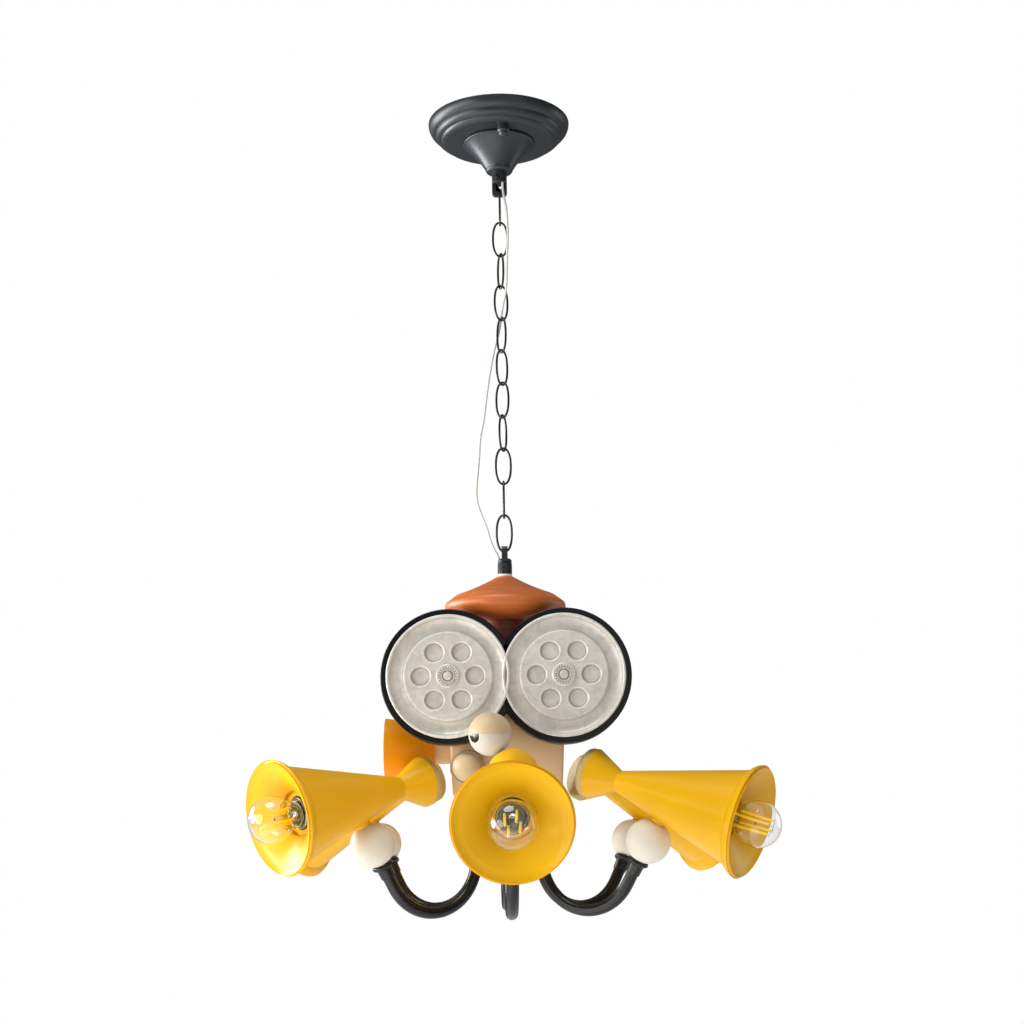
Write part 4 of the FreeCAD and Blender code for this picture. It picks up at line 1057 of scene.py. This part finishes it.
def makeHub():
    r, top, edge = arms["hub"], levels["hub"], arms["hubEdge"]
    low = top - arms["hubHeight"]
    stops = [(rodHole, top), (r, top, 0.4), (r, low + edge), (r - edge, low, 0.6), (rodHole, low)]
    piece("armHub", turnedMesh(stops, 128), "blockPaint", "lamp", "arm_hub")


makeArms()
makeCupsAndBalls()
makeHub()
print("stage: arms")

head = {"axis": 47.5, "tailAt": -75.0, "tail": 25.4, "waistAt": -45.5, "waist": 10.75, "coneAt": 88.0,
    "cone": 48.0, "mouthAt": 100.0, "mouth": 55.9, "lip": 1.6, "lipAngle": 50.0, "flare": 0.1,
    "bowlFlare": 0.5, "bowlHollow": 1.0, "bowlHole": (21.5, 78.0), "bowlShoulder": (44.5, 94.5),
    "well": (16.4, 74.0), "wellEnd": -12.0, "pitches": (16, 17, 16, 16, 16, 12),
    "swivels": (-2, 0, 0, 0, 0, 9)}
stud = {"drillFrom": 18.0, "landAt": 29.5, "nutRoom": 8.7, "nutDepth": 8.5,
    "foot": [(studHole, 21.7), (8.5, 20.7), (8.5, 24.6), (studHole, 24.6)]}
cap = {"radius": 24.6, "thick": 9.0, "rim": 3.6, "back": 21.0, "round": 0.9}
holder = {  # the mouth's heights count from mouthAt, the others from the socket's start
    "mouthAt": 76.0, "length": 52.0, "tube": 5.0, "bore": 3.6, "tubeEnd": 7.0,
    "foot": [(3.6, 0), (8, 0, 0.4), (8, 2, 0.3), (15.5, 7, 0.8)],
    "mouth": [(15.5, -9, 0.2), (15, -8.6, 0.2), (15, -7.8, 0.2), (15.5, -7.4, 0.2), (15.5, -0.6, 0.3),
              (14.9, 0, 0.2), (14.5, -0.5, 0.1), (14, -0.5, 0.1), (13.6, 0, 0.2)],
    "floor": [(13.6, 26), (3.6, 26)],
}
bulb = {  # the heights of seat, stem and cap count from the base
    "at": 105.0, "radius": 22.5, "wall": 0.8, "neck": 12.4, "shoulder": 13.9, "base": 75.0,
    "seat": [(0, 0), (11.4, 0), (11.4, 2.4, 0.3), (10.2, 3, 0.3), (9.8, 2, 0.2), (8.2, 2, 0.2), (7.8, 3, 0.3),
             (6.4, 3, 0.3), (6, 2.2, 0.2), (4.4, 2.2, 0.2), (3.8, 3.6, 0.4), (0, 3.6)],
    "stem": [(0, 3.8), (3.2, 3.8), (2.6, 12, 1.0), (1.8, 27), (0, 28)],
    "cap": [(0, -25), (4.5, -25), (5, -24), (11, -21), (13.1, -19, 0.4), (13.1, 0.6, 0.5), (12.45, 0.9, 0.2),
            (12.45, -1), (0, -1)],
    "thread": [(12.9, -1.2), (13.4, 0), (12.9, 1.2), (12.6, 0)], "threads": 4, "threadAt": -16.0,
    "threadPitch": 3.6, "filaments": 4, "from": 83.0, "to": 118.0, "foot": 8.2, "tip": 7.2, "thick": 1.2,
    "point": 0.5, "first": 62.0, "wire": 0.28, "wireLength": 9.0, "lowWire": (2.2, -7.5, 20),
    "highWire": (0.6, 2.0, 100),
}


def headMatrix(i):
    tip = radians(head["pitches"][i])
    reach, rise = head["axis"] * sin(tip), head["axis"] * cos(tip)
    laid = shift(ballReach + reach, 0, ballLevel + rise) @ turn(90 + head["pitches"][i], "Y")
    way = Vector((sin(leanAngle), 0, cos(leanAngle)))
    swivel = Matrix.Rotation(radians(head["swivels"][i]), 4, way)
    swivel = shift(ballReach, 0, ballLevel) @ swivel @ shift(-ballReach, 0, -ballLevel)
    return turn(arms["first"] + 60 * i, "Z") @ swivel @ laid


def hornMesh():
    a, edge = radians(head["lipAngle"]), head["lip"]
    lip = (head["mouth"] - edge, head["mouthAt"] - edge)
    out = (lip[0] + edge * cos(a), lip[1] - edge * sin(a))
    back = (lip[0] - edge * cos(a), lip[1] + edge * sin(a))
    coneEnd, hole, shoulder = (head["cone"], head["coneAt"]), head["bowlHole"], head["bowlShoulder"]
    flare = head["flare"] * hypot(out[0] - coneEnd[0], out[1] - coneEnd[1])
    well, floor = head["well"], head["wellEnd"]
    stops = [(rodHole, head["tailAt"]), (head["tail"], head["tailAt"], 0.3),
        (head["waist"], head["waistAt"], 1.2), coneEnd, bow(coneEnd, out, -flare), out, bow(out, back, edge),
        back, bow(back, shoulder, head["bowlFlare"]), shoulder, bow(shoulder, hole, -head["bowlHollow"]),
        (*hole, 0.8), (hole[0], well[1]), well, (well[0], floor), (rodHole, floor - well[0] + rodHole)]
    return turnedMesh(stops, 144, 16)


def shellMesh(i, horn):
    # the turned horn with its foot, drilled for the stud and its nut
    tip = radians(arms["lean"] - head["pitches"][i])
    facing = Vector((-cos(tip), 0, sin(tip))).to_track_quat("Z", "Y").to_matrix().to_4x4()
    onStud = shift(head["axis"], 0, 0) @ facing
    low, land, room = stud["drillFrom"], stud["landAt"], stud["nutRoom"]
    end = land + stud["nutDepth"]
    drill = turnedMesh([(0, low), (studHole, low), (studHole, land), (room, land), (room, end), (0, end)], 48)
    foot = turnedMesh(stud["foot"], 48)
    return joinedMesh([drilled(horn, movedMesh(drill, onStud)), movedMesh(foot, onStud)])


def endCapMesh():
    tail, r, back = head["tailAt"], cap["radius"], cap["back"]
    rim, end = tail - cap["rim"], tail - cap["thick"]
    return turnedMesh([(0, tail), (r, tail, 0.4), (r, rim), bow((r, rim), (back, end), cap["round"]),
        (back, end, 1.5), (0, end)])


def lampholderMesh():
    start, low = holder["mouthAt"] - holder["length"], head["tailAt"] - holder["tubeEnd"]
    socket = turnedMesh(lifted(holder["foot"], start) + lifted(holder["mouth"], holder["mouthAt"])
        + lifted(holder["floor"], start))
    return joinedMesh([socket, turnedMesh(sleeve(holder["bore"], holder["tube"], low, start), 48)])


def glassMesh():
    # the globe's wall is one closed shell, open into the cap
    wall, neck, base, at = bulb["wall"], bulb["neck"], bulb["base"], bulb["at"]
    outer, inner = bulb["radius"], bulb["radius"] - wall
    pairs = ((bulb["shoulder"], outer), (bulb["shoulder"] - wall, inner))
    shoulder, inShoulder = [(r, at - sqrt(b * b - r * r)) for r, b in pairs]
    return turnedMesh([(neck - wall, base), (neck, base), shoulder, ("via", outer, at), (0, at + outer),
        (0, at + inner), ("via", inner, at), inShoulder], 96, 32)


def bulbCapMesh():
    shell = turnedMesh(lifted(bulb["cap"], bulb["base"]), 64)
    thread = turnedMesh(bulb["thread"], 64)
    first, pitch = bulb["base"] + bulb["threadAt"], bulb["threadPitch"]
    threads = [movedMesh(thread, shift(0, 0, first + pitch * k)) for k in range(bulb["threads"])]
    return joinedMesh([shell] + threads)


def filamentMeshes():
    low, high, r, point = bulb["from"], bulb["to"], bulb["thick"], bulb["point"]
    length = high - low
    stick = turnedMesh([(0, 0), (r, point), (r, length - point), (0, length)], 12)
    lean = degrees(atan2(bulb["tip"] - bulb["foot"], length))
    stick.transform(shift(bulb["foot"], 0, low) @ turn(lean, "Y"))
    wire = turnedMesh(sleeve(0, bulb["wire"], 0, bulb["wireLength"]), 8)
    places = ((low, bulb["lowWire"]), (high, bulb["highWire"]))
    ends = [movedMesh(wire, shift(x, 0, z + rise) @ turn(tilt, "Y")) for z, (x, rise, tilt) in places]
    return [around(mesh, bulb["filaments"], bulb["first"]) for mesh in (stick, joinedMesh(ends))]


def makeHeads():
    horn, endCap, lampholder = hornMesh(), endCapMesh(), lampholderMesh()
    glass, bulbCap = glassMesh(), bulbCapMesh()
    seat = turnedMesh(lifted(bulb["seat"], bulb["base"]), 64)
    stem = turnedMesh(lifted(bulb["stem"], bulb["base"]), 32)
    sticks, wires = filamentMeshes()
    for i, name in enumerate(headNames):
        for label, mesh, finish, node, slot in (
            ("horn", shellMesh(i, horn), "hornYellow", "horn_", "horn_yellow"),
            ("endCap", endCap, "capTan", "end_cap_", "cap_tan"),
            ("lampholder", lampholder, "holderMetal", "lampholder_", "holder_grey"),
            ("bulbGlass", glass, "bulbGlass", "bulb_", "bulb_glass"),
            ("bulbStem", stem, "bulbGlass", None, "bulb_glass"),
            ("bulbSeat", seat, "seatMetal", None, "holder_grey"),
            ("bulbCap", bulbCap, "nickel", None, "holder_grey"),
            ("bulbFilaments", sticks, "filament", None, None),
            ("bulbWires", wires, "nickel", None, "holder_grey"),
        ):
            piece(label + "_" + name, movedMesh(mesh, headMatrix(i)), finish, "head_" + name,
                node and node + name)


makeHeads()
print("stage: heads")

solidFinishes = {  # for the solids that no piece replaces
    "ceiling_bar": "zinc", "bar_studs": "zinc", "hanger_tube": "zinc", "tie_rod": "zinc",
    "swivel_studs": "zinc", "terminal_block": "terminalPlastic",
}
for node, finish in solidFinishes.items():
    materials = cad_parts[node].data.materials
    materials.clear()
    materials.append(finishes[finish])

newBox = [list(corner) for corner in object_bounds()]
spread = [[round((b - a) / mm, 1) for a, b in zip(p, q)] for p, q in zip(cadBox, newBox)]
print("box of the scene against the frame, mm:", spread)
